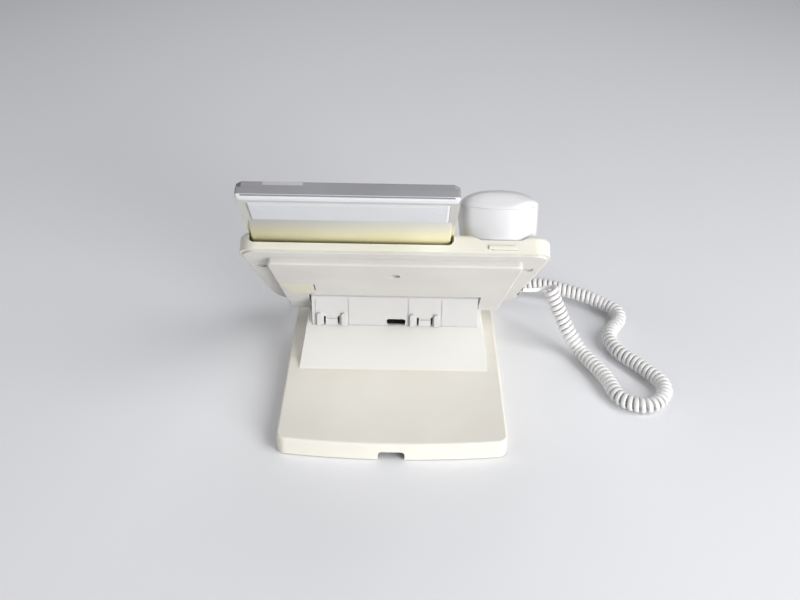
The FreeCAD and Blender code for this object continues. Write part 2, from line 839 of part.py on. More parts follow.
def rod(name, x, y, z, radius, height, axis=None):
    made = doc.addObject("Part::Cylinder", name)
    set_length(made, "Radius", radius)
    made.Height = height
    turn = Rotation(Vector(0, 0, 1), axis) if axis is not None else Rotation()
    made.Placement = Placement(Vector(x, y, z), turn)
    return made


def joined(name, parts):
    made = doc.addObject("Part::MultiFuse", name)
    made.Shapes = parts
    return made


def grouped(name, parts):
    made = doc.addObject("Part::Compound", name)
    made.Links = parts
    return made


def less(name, whole, tool):
    made = doc.addObject("Part::Cut", name)
    made.Base, made.Tool = whole, tool
    return made


def make_stand_feet():
    feet = [rod("pad", x, y, 0, "Sizes.foot_radius", foot_top + 1) for x, y in foot_places]
    show("stand_feet", grouped("stand_feet", feet))


def make_screws():
    screws = []
    for x, station in screw_places():
        z = screw_seat(station)
        head = rod("head", x, -station, z - 1.6, 2.8, 1.6)
        shank = rod("shank", x, -station, z - 0.2, 1.25, 7)
        screws.append(joined("screw", [head, shank]))
    show("case_screws", grouped("case_screws", screws), BODY)


mat_low = 0.2
mat_high = 1.4
flange_high = 4.2


def room_plate(name, gap, low, high):
    """Flat plate that fills the hollow under the keys up to a gap."""
    rim = size("case_wall") + 0.2 + gap
    return box(name, island_left + rim, rim - size("island_end"), low,
               island_right - size("key_room_right") - gap, -size("island_start") - rim, high)


def post_holes(name):
    """Rods that open a sheet round the screw posts."""
    inside = [(x, station) for x, station in screw_places() if island_left < x < island_right]
    return joined(name + "_holes", [rod(name + "_hole", x, -station, -6, size("post_radius") + 0.8, 12)
                                    for x, station in inside])


def make_board():
    thick = size("board_thick")
    show("main_board", less("main_board", room_plate("board_plate", 1.6, mat_low - 0.1 - thick, mat_low - 0.1),
                            post_holes("board")), BODY)
    show("keypad_mat", less("keypad_mat", room_plate("keypad_sheet", 2.4, mat_low, mat_high),
                            post_holes("mat")), BODY)
    low, high = -16.8, mat_low - 0.2 - thick
    for label, side in (("lan_jack", 1), ("pc_jack", -1)):
        x = side * size("lan_x")
        shell = box(label + "_shell", x - 7.4, -121.0, low, x + 7.4, -108.6, high)
        cavity = box(label + "_cavity", x - 5.9, -119.4, low - 1, x + 5.9, -112.2, high - 3)
        show(label, less(label, shell, cavity), BODY)
    for label, station in (("handset_jack", jack_station), ("headset_jack", headset_station)):
        outer = -jack_face(station)
        low, high = -jack_low(station), -jack_high(station) - 0.1
        shell = box(label + "_shell", outer, -station - jack_half, low, outer + jack_depth,
                    -station + jack_half, high)
        cavity = box(label + "_cavity", outer - 1, -station - plug_half_width - 0.25, low + 0.4, outer + 10,
                     -station + plug_half_width + 0.25, high - 0.4)
        show(label, less(label, shell, cavity), BODY)
    speaker = joined("speaker_cone", [rod("basket", cradle_x + 6, -83, -13, 13.5, 4.0),
                                      rod("magnet", cradle_x + 6, -83, -16.2, 7.5, 3.4)])
    show("loudspeaker", speaker, BODY)
    show("microphone", rod("microphone", mic_x, mic_y, -4.6, 3.0, 2.2), BODY)
    cradle = cradle_x
    show("hook_switch", box("hook_stem", cradle - 4, -31.6, -12, cradle + 4, -23.6, -4.3), BODY)
    slot = size("hanger_top")
    middle = cradle + size("hanger_shift")
    half = size("hanger_width") / 2
    tab = box("tab", middle - half + 0.2, -size("hanger_length") + 0.4, -slot - size("hanger_thick") + 0.2,
              middle + half - 2.2, 0.4, -slot - 0.2)
    show("handset_hanger", tab, BODY)


# Keys

def make_key(label, x, y, width, height):
    key = new_body(label, BODY)
    flange = size("key_flange")
    thick = size("key_flange_thick")
    pad(key, "XY", rect(x - width / 2 - flange, y - height / 2 - flange, x + width / 2 + flange,
                        y + height / 2 + flange), "Sizes.key_flange_thick", offset=flange_high - thick)
    top = size("island_height") + size("key_proud")
    pad(key, "XY", key_outline(x, y, width, height), top - flange_high + 0.2, offset=flange_high - 0.2)
    round_edges(key, "Chamfer", "Sizes.key_chamfer", at_height(top))


def make_keys():
    names = ("1", "2", "3", "4", "5", "6", "7", "8", "9", "star", "0", "hash")
    for index, x, y in dial_places():
        make_key("dial_key_" + names[index], x, y, size("dial_key_width"), size("dial_key_height"))
    for index, x, y in line_places():
        make_key(f"line_key_{index + 1}", x, y, size("line_key_width"), size("line_key_height"))
    top = size("island_height") + size("key_proud")
    x, y = key_column, -size("nav_station")
    ring = new_body("navigator_ring", BODY)
    pad(ring, "XY", circle(x, y, size("nav_radius")) + circle(x, y, size("nav_hole")), top - 2.8, offset=2.8)
    round_edges(ring, "Chamfer", "Sizes.key_chamfer", at_height(top))
    enter = new_body("enter_key", BODY)
    pad(enter, "XY", circle(x, y, size("enter_radius")), top - 3.2, offset=3.2)
    round_edges(enter, "Chamfer", "Sizes.key_chamfer", at_height(top))
    rocker = new_body("volume_rocker", BODY)
    x, y = rocker_x, -size("rocker_station")
    pad(rocker, "XY", key_outline(x, y, size("rocker_width"), size("rocker_length")), top - 2.8, offset=2.8)
    round_edges(rocker, "Chamfer", "Sizes.key_chamfer", at_height(top))


# Display, in a frame with its origin on the hinge axis, y up the module and
# z out of its face

def make_display():
    half = size("display_width") / 2
    foot = size("display_foot_width") / 2
    reach = size("display_reach")
    back, face = -size("display_thick") / 2, size("display_thick") / 2
    split = face - size("bezel_thick")
    wall = size("display_wall")
    cover = new_body("display_cover", DISPLAY)
    body_top = reach - wall - 0.1
    taper = half - (half - foot) * (reach - body_top) / reach
    pad(cover, "XY", outline((-foot, 0), (foot, 0), (taper, body_top), (-taper, body_top)),
        split - back, offset=back)
    pad(cover, "YZ", circle(0, 0, size("barrel_radius")), 2 * foot, centred=True)
    cut_below(cover, rect(-foot + wall, 9, foot - wall, body_top - wall), split + 0.5, split - back - wall + 0.5)
    panel = size("back_panel_inset")
    high, low = reach - size("back_panel_top"), reach - size("back_panel_bottom")
    cut_above(cover, rect(-half + panel - 0.1, low - 0.1, half - panel + 0.1, high + 0.1, 2.0), back - 1,
              1.9)
    for side in (-1, 1):
        x = side * knuckle_reach
        clear = knuckle_radius + 1.4
        side_cut(cover, outline((-9, -9), (clear, -9), (clear, clear + 1), (-9, clear + 1)),
                 knuckle_width + 2 * knuckle_gap, middle=x)
    side_cut(cover, circle(0, 0, size("hinge_pin_radius") + size("hinge_pin_fit")),
             2 * (knuckle_reach + knuckle_width + 6))
    panel_body = new_body("display_back_panel", DISPLAY)
    pad(panel_body, "XY", rect(-half + panel, low, half - panel, high, 2.0), "Sizes.back_panel_thick",
        offset=back - 0.3)
    bezel = new_body("display_bezel", DISPLAY)
    bottom = 10.0
    base_half = foot + (half - foot) * bottom / reach
    pad(bezel, "XY", outline((-base_half, bottom), (base_half, bottom), (half, reach - 4), (half - 4, reach),
                             (-half + 4, reach), (-half, reach - 4)), face - split - 0.05, offset=split + 0.05)
    round_edges(bezel, "Fillet", "Sizes.bezel_edge", at_height(face))
    pad(bezel, "XY", outline((-half + 4 - wall, reach - wall), (half - 4 + wall, reach - wall), (half - 4, reach),
                             (-half + 4, reach)),
        face - back - 2.6, offset=back + 0.6)
    margin = size("lens_margin")
    lens_low, lens_high = reach - margin - size("lens_height"), reach - margin
    lens_half = half - margin
    cut_below(bezel, rect(-lens_half, lens_low, lens_half, lens_high, 2.0), face + 1, 2.8)
    cut_below(bezel, rect(-lens_half + 4, lens_low + 3, lens_half - 4, lens_high - 3), face, 6)
    keys = []
    for index in range(4):
        x = (index - 1.5) * size("soft_key_pitch")
        keys += cut_rect(x - 7.3, soft_y - 2.8, x + 7.3, soft_y + 2.8, 0.8)
    cut_below(bezel, keys, face + 1, 8)
    lamp = size("lamp_offset")
    lamp_half = size("lamp_width") / 2
    cut_below(bezel, rect(lamp - lamp_half, reach - 5, lamp + lamp_half, reach + 1), face + 1, 4.0)
    lens = new_body("display_lens", DISPLAY)
    pad(lens, "XY", rect(-lens_half + 0.1, lens_low + 0.1, lens_half - 0.1, lens_high - 0.1, 1.9), 1.4,
        offset=face - 1.7)
    show("lcd_module", box("lcd_module", -lens_half + 4.2, lens_low + 3.2, back + wall + 0.3, lens_half - 4.2,
                           lens_high - 3.2, face - 1.8), DISPLAY)
    show("message_lamp", box("message_lamp", lamp - lamp_half + 0.1, reach - 4.9, face - 2.9, lamp + lamp_half - 0.1,
                             reach - 0.05, face - 0.1), DISPLAY)
    pins = []
    for side in (-1, 1):
        middle = side * knuckle_reach
        pins.append(rod("pin", middle - 9, 0, 0, "Sizes.hinge_pin_radius", 18, Vector(1, 0, 0)))
    show("hinge_pins", grouped("hinge_pins", pins), DISPLAY)
    for index in range(4):
        x = (index - 1.5) * size("soft_key_pitch")
        key = new_body(f"soft_key_{index + 1}", DISPLAY)
        pad(key, "XY", cut_rect(x - 7, soft_y - 2.5, x + 7, soft_y + 2.5, 0.8), face + 1.2 - split + 1.2,
            offset=split - 1.2)
        round_edges(key, "Chamfer", 0.3, at_height(face + 1.2))


soft_y = 17.0


# Handset, in the body's frame moved to the cradle

plug_z = 21.5
handset_first = 1.8
handset_last = handset_first - size("handset_length")


def end_curve(half, corner, radius, end, way):
    """Rounding of a corner that runs into the wide arc across a handset's end."""
    cx = half - corner
    reach = math.sqrt((radius - corner) ** 2 - cx ** 2)
    cy = end - way * (radius - reach)
    unit_x, unit_y = cx / (radius - corner), way * reach / (radius - corner)
    norm = math.hypot(1 + unit_x, unit_y)
    bend = (cx + corner * (1 + unit_x) / norm, cy + corner * unit_y / norm)
    return cy, bend, (cx + corner * unit_x, cy + corner * unit_y)


def handset_outline(inset):
    half, grip = size("handset_half") - inset, size("grip_half") - inset
    first, last = handset_first - inset, handset_last + inset
    mouth = half - 0.8
    ear_y, waist_y, mouth_y = -34.0, -82.0, -130.0
    corner, sweep = size("handset_corner") - inset, size("handset_sweep") - inset
    top_y, top_bend, top_join = end_curve(half, corner, sweep, first, 1)
    low_y, low_bend, low_join = end_curve(mouth, corner, sweep, last, -1)
    right_in, right_out = s_bend(half, ear_y, grip, waist_y)
    mouth_in, mouth_out = s_bend(grip, waist_y, mouth, mouth_y)
    left_in, left_out = s_bend(-mouth, mouth_y, -grip, waist_y)
    ear_in, ear_out = s_bend(-grip, waist_y, -half, ear_y)
    return outline(
        (-top_join[0], top_join[1]), (0, first, top_join[0], top_join[1]),
        (top_bend[0], top_bend[1], half, top_y), (half, ear_y),
        right_in, right_out, mouth_in, mouth_out, (mouth, low_y),
        (low_bend[0], low_bend[1], low_join[0], low_join[1]), (0, last, -low_join[0], low_join[1]),
        (-low_bend[0], low_bend[1], -mouth, low_y), (-mouth, mouth_y),
        left_in, left_out, ear_in, ear_out, (-half, top_y),
        (-top_bend[0], top_bend[1], -top_join[0], top_join[1]))


def cup(body, kind, sections):
    """Loft up from a floor through rounded rectangles: (z, half width, y low, y high, corner)."""
    made = [sketch(body, "XY", rect(-half, low, half, high, corner), z)
            for z, half, low, high, corner in sections]
    feature = body.newObject("PartDesign::" + kind, body.Name + "_cup")
    feature.Profile = made[0]
    feature.Sections = made[1:]
    feature.Ruled = True
    doc.recompute()
    if feature.Shape.isNull() or not feature.isValid():
        raise RuntimeError(body.Label + ": loft failed")


def make_handset():
    split = size("handset_parting")
    crown = size("handset_crown")
    half = size("handset_half")
    wall = size("handset_wall")
    rest = size("handset_rest_gap")
    first, last = handset_first, handset_last
    grip_low = size("handset_grip_low")
    seam = outline((first + 1, size("handset_tip")), (-14, split), (last - 2, split), (last - 2, split + 30),
                   (first + 1, split + 30))
    shell = new_body("handset_back", HANDSET)
    pad(shell, "XY", handset_outline(0), crown + 1 - grip_low, offset=grip_low)
    side_cut(shell, outline((first + 2, crown - 13), (-12, crown - 3, -40, crown),
                            (-86, size("grip_crown"), last - 2, crown - 5.5), (last - 2, crown + 6),
                            (first + 2, crown + 6)), 90)
    round_edges(shell, "Fillet", "Sizes.handset_round", above(crown - 15))
    side_cut(shell, outline((first + 2, size("handset_tip")), (-14, split), (last - 2, split),
                            (last - 2, grip_low - 1), (first + 2, grip_low - 1)), 90)
    cut_above(shell, handset_outline(wall + 2.2), grip_low - 1, split + 3.0 - grip_low + 1)
    front = new_body("handset_front", HANDSET)
    pad(front, "XY", handset_outline(0), split - grip_low, offset=grip_low)
    side_cut(front, seam, 90)
    ear_low, mouth_low = -size("ear_cup_depth") + rest, -size("mouth_cup_depth") + rest
    cup(front, "AdditiveLoft", [(ear_low, 14.4, -49.0, -4.0, 6), (rest, 21.6, -51.4, -2.0, 8),
                                (grip_low + 0.5, half - 0.8, -56.0, first - 3.0, 13)])
    cup(front, "AdditiveLoft", [(mouth_low, 19.0, -144.5, -111.5, 6), (rest + 0.4, 21.0, -147.4, -108.6, 8),
                                (grip_low + 0.5, half - 2.0, last + 4.0, -104.0, 14)])
    cut_below(front, handset_outline(wall + 2.2), split + 1, split + 1 - grip_low - wall)
    cut_below(front, rect(-16.5, -44, 16.5, -8, 6), grip_low + wall + 1, grip_low + wall + 1)
    cut_below(front, rect(-15, -141, 15, -115, 6), grip_low + wall + 1, grip_low + wall)
    holes = []
    for row in range(3):
        y = -21 - row * 6
        reach = (7.0, 10.0, 7.0)[row]
        holes += rect(-reach, y - 1, reach, y + 1)
    holes += rect(-5, -129, 5, -127.4)
    cut_below(front, holes, 6, 12)
    # socket for the cord's plug in the lower end
    wide, high = plug_half_width + 0.3, plug_half_height + 0.3
    rear_cut(front, rect(-wide, plug_z - high, wide, plug_z + high), 14, last + 13)
    receiver = joined("receiver", [rod("capsule", 0, -26, 0.6, 15.5, 6), rod("rim", 0, -26, 6.4, 12, 3)])
    show("handset_receiver", receiver, HANDSET)
    show("handset_mic", rod("handset_mic", 0, -128, 2.0, 4.8, 5), HANDSET)




def above(z):
    def chosen(edge):
        return all(v.Point.z > z for v in edge.Vertexes)
    return chosen


# Cord: hand-chosen points of the coil's middle line, from the handset's lower
# end round the side of the phone and back to the socket in the body's side

CORD_ROUTE = [
    (-100.0, -117.6, 11.5),
    (-113.0, -117.1, 13.0),
    (-130.0, -113.1, 17.5),
    (-162.0, -106.1, 13.5),
    (-192.0, -95.1, 9.0),
    (-207.0, -74.1, 7.4),
    (-187.0, -48.1, 7.4),
    (-190.0, -24.1, 7.4),
    (-208.0, -2.1, 7.4),
    (-226.0, 25.9, 7.4),
    (-208.0, 51.9, 7.4),
    (-182.0, 43.9, 7.4),
    (-177.0, 15.9, 7.4),
    (-166.0, -8.1, 7.4),
    (-157.0, -25.1, 9.5),
    (-143.0, -35.1, 32.0),
    (-132.0, -42.6, 57.0),
]
QUARTERS = 4


def coil_line():
    curve = Part.BSplineCurve()
    curve.buildFromPoles([Vector(*point) for point in CORD_ROUTE], False, 2)
    return curve


def coil_frames(curve, count):
    """Points along the line, each with its direction and a steady sideways vector."""
    length = curve.length()
    points = []
    tangents = []
    for index in range(count + 1):
        place = curve.parameterAtDistance(length * index / count, curve.FirstParameter)
        points.append(curve.value(place))
        tangents.append(curve.tangent(place)[0])
    side = tangents[0].cross(Vector(0, 0, 1)).normalize()
    sides = [side]
    for index in range(count):
        step = points[index + 1] - points[index]
        mirrored = side - step * (2 * step.dot(side) / step.dot(step))
        turned = tangents[index] - step * (2 * step.dot(tangents[index]) / step.dot(step))
        gap = tangents[index + 1] - turned
        if gap.dot(gap) > 1e-12:
            mirrored = mirrored - gap * (2 * gap.dot(mirrored) / gap.dot(gap))
        side = (mirrored - tangents[index + 1] * mirrored.dot(tangents[index + 1])).normalize()
        sides.append(side)
    return points, tangents, sides


def curl_angle(tangent, side, heading):
    """Place on the curl's circle where the wire runs most nearly along the heading."""
    return math.atan2(-side.dot(heading), tangent.cross(side).dot(heading))


def coil_points(steps_per_turn, first_heading, last_heading):
    """Points on the wire's middle line; its two ends run along the headings."""
    curve = coil_line()
    turns = round(curve.length() / size("curl_pitch"))
    count = turns * steps_per_turn
    points, tangents, sides = coil_frames(curve, count)
    first = curl_angle(tangents[0], sides[0], first_heading)
    last = curl_angle(tangents[-1], sides[-1], last_heading)
    whole_turns = round(turns - (last - first) / (2 * math.pi))
    total = last - first + 2 * math.pi * whole_turns
    radius = size("curl_radius")
    wire = []
    for index in range(count + 1):
        angle = first + total * index / count
        across = sides[index] * math.cos(angle) + tangents[index].cross(sides[index]) * math.sin(angle)
        wire.append(points[index] + across * radius)
    return wire, turns


def wire_directions(wire, dense, ratio):
    directions = []
    for index in range(len(wire)):
        at = index * ratio
        before, after = dense[max(at - 1, 0)], dense[min(at + 1, len(dense) - 1)]
        directions.append((after - before).normalize())
    return directions


def biarc(p0, t0, p1, t1):
    """Two arcs that meet smoothly, from p0 along t0 to p1 along t1."""
    chord = p1 - p0
    bend = t0 + t1
    a = 2 * (1 - t0.dot(t1))
    b = 2 * chord.dot(bend)
    c = -chord.dot(chord)
    if a < 1e-9:
        reach = -c / b
    else:
        reach = (-b + math.sqrt(b * b - 4 * a * c)) / (2 * a)
    meet = (p0 + t0 * reach + p1 - t1 * reach) * 0.5
    return [arc_from(p0, t0, meet), arc_from(p1, t1 * -1, meet, True)]


def arc_from(start, direction, end, backwards=False):
    chord = end - start
    normal = direction.cross(chord)
    if normal.Length < 1e-7 * chord.Length:
        edge = Part.LineSegment(end, start) if backwards else Part.LineSegment(start, end)
        return edge.toShape()
    inward = normal.cross(direction).normalize()
    radius = chord.dot(chord) / (2 * chord.dot(inward))
    centre = start + inward * radius
    middle = (start + end) * 0.5 - centre
    via = centre + middle.normalize() * abs(radius)
    if backwards:
        return Part.Arc(end, via, start).toShape()
    return Part.Arc(start, via, end).toShape()


def coil_shape(first_heading, last_heading):
    fine = 16
    dense, turns = coil_points(QUARTERS * fine, first_heading, last_heading)
    wire, _ = coil_points(QUARTERS, first_heading, last_heading)
    directions = wire_directions(wire, dense, fine)
    lead = size("wire_side")
    edges = [Part.LineSegment(wire[0] - directions[0] * lead, wire[0]).toShape()]
    for index in range(len(wire) - 1):
        edges += biarc(wire[index], directions[index], wire[index + 1], directions[index + 1])
    edges.append(Part.LineSegment(wire[-1], wire[-1] + directions[-1] * lead).toShape())
    half = size("wire_side") / 2
    along = directions[0]
    out = (wire[0] - coil_line().value(coil_line().FirstParameter)).normalize()
    out = (out - along * out.dot(along)).normalize()
    across = along.cross(out)
    origin = wire[0] - along * lead
    corners = [origin + out * (u * half) + across * (v * half) for u, v in ((-1, -1), (1, -1), (1, 1), (-1, 1))]
    profile = Part.makePolygon(corners + [corners[0]])
    shape = Part.Wire(edges).makePipeShell([profile], True, False)
    ends = (origin, along * -1, wire[-1] + directions[-1] * lead, directions[-1])
    return Part.Solid(shape) if shape.ShapeType == "Shell" else shape, dense, turns, ends


def least_gap(dense, per_turn):
    least = 1e9
    for index in range(0, len(dense), 2):
        for other in range(index + per_turn // 2, min(index + 2 * per_turn, len(dense)), 2):
            least = min(least, (dense[index] - dense[other]).Length)
    return least - size("wire_side")


def lead_shape(start, start_heading, end, end_heading):
    """Round lead: a short straight run at each end and two arcs between them."""
    radius = size("lead_radius")
    run = 2 * radius
    first, last = start + start_heading * run, end - end_heading * run
    arcs = biarc(first, start_heading, last, end_heading)
    edges = [Part.LineSegment(start, first).toShape()] + arcs + [Part.LineSegment(last, end).toShape()]
    print("lead bend radii", [round(arc.Curve.Radius, 1) for arc in arcs if hasattr(arc.Curve, "Radius")])
    ring = Part.Wire(Part.makeCircle(radius, start, start_heading))
    shape = Part.Wire(edges).makePipeShell([ring], True, False)
    return Part.Solid(shape) if shape.ShapeType == "Shell" else shape


def shape_node(label, shape):
    made = doc.addObject("Part::Feature", label)
    made.Shape = shape
    show(label, made)


def plug_solid(label, frame, depth):
    """Plug that sits in a socket, its cord end facing along its own -y."""
    wide, high = plug_half_width, plug_half_height
    body = joined(label, [box("plug_body", -wide, -1.2, -high, wide, depth, high),
                          box("plug_neck", 0.8 - wide, -3.2, 0.5 - high, wide - 0.8, -1.0, high - 0.5)])
    show(label, body, frame)


def make_cord():
    handset_end = HANDSET.multiply(Placement(Vector(0, handset_last, plug_z), Rotation()))
    plug_solid("handset_plug", handset_end, 10.5)
    middle = -(jack_low(jack_station) + jack_high(jack_station) + 0.1) / 2
    side = BODY.multVec(Vector(-jack_face(jack_station), -jack_station, middle))
    side_frame = Placement(side, BODY.Rotation.multiply(Rotation(Vector(0, 0, 1), -90)))
    plug_solid("case_plug", side_frame, 9.2)
    from_handset = handset_end.multVec(Vector(0, -3.7, 0))
    handset_out = handset_end.Rotation.multVec(Vector(0, -1, 0))
    from_case = side_frame.multVec(Vector(0, -3.2, 0))
    case_out = side_frame.Rotation.multVec(Vector(0, -1, 0))
    shape, dense, turns, ends = coil_shape(handset_out, case_out * -1)
    print("curls", turns, "least gap", round(least_gap(dense, QUARTERS * 16), 2))
    shape_node("curly_cord", shape)
    print("ends", from_handset, ends[0], from_case, ends[2], ends[3])
    start, start_out, finish, finish_out = ends
    shape_node("handset_lead", lead_shape(from_handset, handset_out, start, start_out * -1))
    shape_node("case_lead", lead_shape(from_case, case_out, finish, finish_out * -1))


make_base()
make_stand_feet()
make_neck()
make_lower_case()
make_upper_case()
make_screws()
make_board()
make_keys()
make_display()
make_handset()
make_cord()
doc.recompute()

os.makedirs("parts", exist_ok=True)
triangles = 0
whole = None
for node in nodes:
    if "Invalid" in node.State or "Error" in node.State:
        raise RuntimeError(node.Label + " is " + str(node.State))
    if node.Shape.isNull() or not node.Shape.isValid():
        raise RuntimeError(node.Label + " has no valid solid")
    node.Shape.exportStep("parts/" + node.Label + ".step")
    if "cord" in node.Label or "lead" in node.Label or "plug" in node.Label:
        continue
    bounds = node.Shape.BoundBox
    whole = bounds if whole is None else whole.united(bounds)
print("nodes", len(nodes), "box", whole)
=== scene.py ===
import bpy
import bmesh
import math
from mathutils import Matrix, Vector


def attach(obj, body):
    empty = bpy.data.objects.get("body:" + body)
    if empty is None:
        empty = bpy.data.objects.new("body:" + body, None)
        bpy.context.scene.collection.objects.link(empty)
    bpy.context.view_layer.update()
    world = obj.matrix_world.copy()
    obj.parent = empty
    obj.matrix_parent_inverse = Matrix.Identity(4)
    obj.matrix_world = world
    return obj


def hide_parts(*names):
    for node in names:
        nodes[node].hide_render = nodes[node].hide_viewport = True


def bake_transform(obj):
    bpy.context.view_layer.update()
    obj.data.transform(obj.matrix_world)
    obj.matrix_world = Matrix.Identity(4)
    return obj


# A desk telephone seen from behind: stand, slanted body, tilting display,
# handset and curly cord. Metres, +Z up, the user on -Y.

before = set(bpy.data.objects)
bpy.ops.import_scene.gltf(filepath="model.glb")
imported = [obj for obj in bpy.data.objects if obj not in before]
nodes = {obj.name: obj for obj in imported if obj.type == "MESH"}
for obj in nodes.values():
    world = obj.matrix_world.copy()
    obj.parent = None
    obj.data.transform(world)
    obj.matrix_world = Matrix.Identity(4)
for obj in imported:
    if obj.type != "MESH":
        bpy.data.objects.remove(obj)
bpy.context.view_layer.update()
print("frame loaded", len(nodes), "nodes")

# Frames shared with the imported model: each has x across, y up the slab or the
# display and z out of its user side

slab = {"rearEdge": (0.0, 0.02772, 0.1493), "tilt": 50.0, "cradleAcross": -0.0778}
hinge = {"across": 0.0322, "station": 0.019, "up": 0.0042, "tilt": 53.2}


def tiltedFrame(place, degrees):
    return Matrix.Translation(place) @ Matrix.Rotation(math.radians(degrees), 4, "X")


bodyFrame = tiltedFrame(slab["rearEdge"], slab["tilt"])
hingePoint = bodyFrame @ Vector((hinge["across"], -hinge["station"], hinge["up"]))
displayFrame = tiltedFrame(hingePoint, hinge["tilt"])
handsetFrame = bodyFrame @ Matrix.Translation((slab["cradleAcross"], 0, 0))


# Materials

grainLook = {
    "driftScale": 14.0, "driftDetail": 3.0,  # slow change of colour
    "driftRange": (0.35, 0.65),
    "scuffScale": 90.0, "scuffDetail": 6.0,  # change of roughness
    "roughSpread": 0.06,
    "fineDetail": 2.0, "bumpHeight": 0.0002,  # moulded grain
}


def linear(red, green, blue):
    # linear colour from the 0 to 255 values of a picture
    shades = []
    for value in (red, green, blue):
        share = value / 255
        shades.append(share / 12.92 if share <= 0.04045 else ((share + 0.055) / 1.055) ** 2.4)
    return shades + [1.0]


def addNode(tree, kind, **values):
    node = tree.nodes.new(kind)
    for name, value in values.items():
        setattr(node, name, value)
    return node


def newGroup(name, inputs, outputs):
    group = bpy.data.node_groups.new(name, "ShaderNodeTree")
    for side, sockets in (("INPUT", inputs), ("OUTPUT", outputs)):
        for socket, kind in sockets:
            group.interface.new_socket(socket, in_out=side, socket_type="NodeSocket" + kind)
    return group, addNode(group, "NodeGroupInput"), addNode(group, "NodeGroupOutput")


def makeGrainGroup():
    # moulded plastic: fine grain for the surface, slow drift for the colour
    group, inputs, outputs = newGroup(
        "mouldedGrain", [("Grain Scale", "Float"), ("Grain Depth", "Float")],
        [("Drift", "Float"), ("Scuff", "Float"), ("Normal", "Vector")])
    place = addNode(group, "ShaderNodeTexCoord")
    slow = addNode(group, "ShaderNodeTexNoise")
    slow.inputs["Scale"].default_value = grainLook["driftScale"]
    slow.inputs["Detail"].default_value = grainLook["driftDetail"]
    fine = addNode(group, "ShaderNodeTexNoise")
    fine.inputs["Detail"].default_value = grainLook["fineDetail"]
    scuff = addNode(group, "ShaderNodeTexNoise")
    scuff.inputs["Scale"].default_value = grainLook["scuffScale"]
    scuff.inputs["Detail"].default_value = grainLook["scuffDetail"]
    bump = addNode(group, "ShaderNodeBump")
    bump.inputs["Distance"].default_value = grainLook["bumpHeight"]
    link = group.links.new
    for noise in (slow, fine, scuff):
        link(place.outputs["Object"], noise.inputs["Vector"])
    link(inputs.outputs["Grain Scale"], fine.inputs["Scale"])
    link(inputs.outputs["Grain Depth"], bump.inputs["Strength"])
    link(fine.outputs["Fac"], bump.inputs["Height"])
    link(slow.outputs["Fac"], outputs.inputs["Drift"])
    link(scuff.outputs["Fac"], outputs.inputs["Scuff"])
    link(bump.outputs["Normal"], outputs.inputs["Normal"])
    return group


def makeFadeGroup():
    # a colour that turns into another along an axis of the model, between two places
    group, inputs, outputs = newGroup(
        "toneFade", [("First", "Color"), ("Second", "Color"), ("Axis", "Vector"),
                     ("Start", "Float"), ("End", "Float")], [("Colour", "Color")])
    place = addNode(group, "ShaderNodeTexCoord")
    along = addNode(group, "ShaderNodeVectorMath", operation="DOT_PRODUCT")
    share = addNode(group, "ShaderNodeMapRange", interpolation_type="SMOOTHSTEP")
    mixed = addNode(group, "ShaderNodeMix", data_type="RGBA")
    link = group.links.new
    link(place.outputs["Object"], along.inputs[0])
    link(inputs.outputs["Axis"], along.inputs[1])
    link(along.outputs["Value"], share.inputs["Value"])
    link(inputs.outputs["Start"], share.inputs["From Min"])
    link(inputs.outputs["End"], share.inputs["From Max"])
    link(share.outputs["Result"], mixed.inputs["Factor"])
    link(inputs.outputs["First"], mixed.inputs["A"])
    link(inputs.outputs["Second"], mixed.inputs["B"])
    link(mixed.outputs["Result"], outputs.inputs["Colour"])
    return group


grainGroup = makeGrainGroup()
fadeGroup = makeFadeGroup()


def moulded(name, light, dark, roughness, grain=(1600.0, 0.25), clear=0.0):
    # plastic whose colour drifts between two close shades
    material = bpy.data.materials.new(name)
    material.use_nodes = True
    tree = material.node_tree
    shader = tree.nodes["Principled BSDF"]
    grainNode = addNode(tree, "ShaderNodeGroup", node_tree=grainGroup)
    grainNode.inputs["Grain Scale"].default_value = grain[0]
    grainNode.inputs["Grain Depth"].default_value = grain[1]
    ramp = addNode(tree, "ShaderNodeValToRGB")
    stops = zip(ramp.color_ramp.elements, grainLook["driftRange"], (dark, light))
    for element, place, shade in stops:
        element.position = place
        element.color = linear(*shade)
    rough = addNode(tree, "ShaderNodeMapRange")
    rough.inputs["To Min"].default_value = roughness - grainLook["roughSpread"]
    rough.inputs["To Max"].default_value = roughness + grainLook["roughSpread"]
    link = tree.links.new
    link(grainNode.outputs["Drift"], ramp.inputs["Fac"])
    link(ramp.outputs["Color"], shader.inputs["Base Color"])
    link(grainNode.outputs["Scuff"], rough.inputs["Value"])
    link(rough.outputs["Result"], shader.inputs["Roughness"])
    link(grainNode.outputs["Normal"], shader.inputs["Normal"])
    shader.inputs["Coat Weight"].default_value = clear
    return material


def faded(name, base, other, axis, start, end):
    # a copy of a finish that turns into another colour along an axis
    material = base.copy()
    material.name = name
    tree = material.node_tree
    shader = tree.nodes["Principled BSDF"]
    first = shader.inputs["Base Color"].links[0].from_socket
    fade = addNode(tree, "ShaderNodeGroup", node_tree=fadeGroup)
    fade.inputs["Second"].default_value = linear(*other)
    fade.inputs["Axis"].default_value = axis
    fade.inputs["Start"].default_value = start
    fade.inputs["End"].default_value = end
    tree.links.new(first, fade.inputs["First"])
    tree.links.new(fade.outputs["Colour"], shader.inputs["Base Color"])
    return material


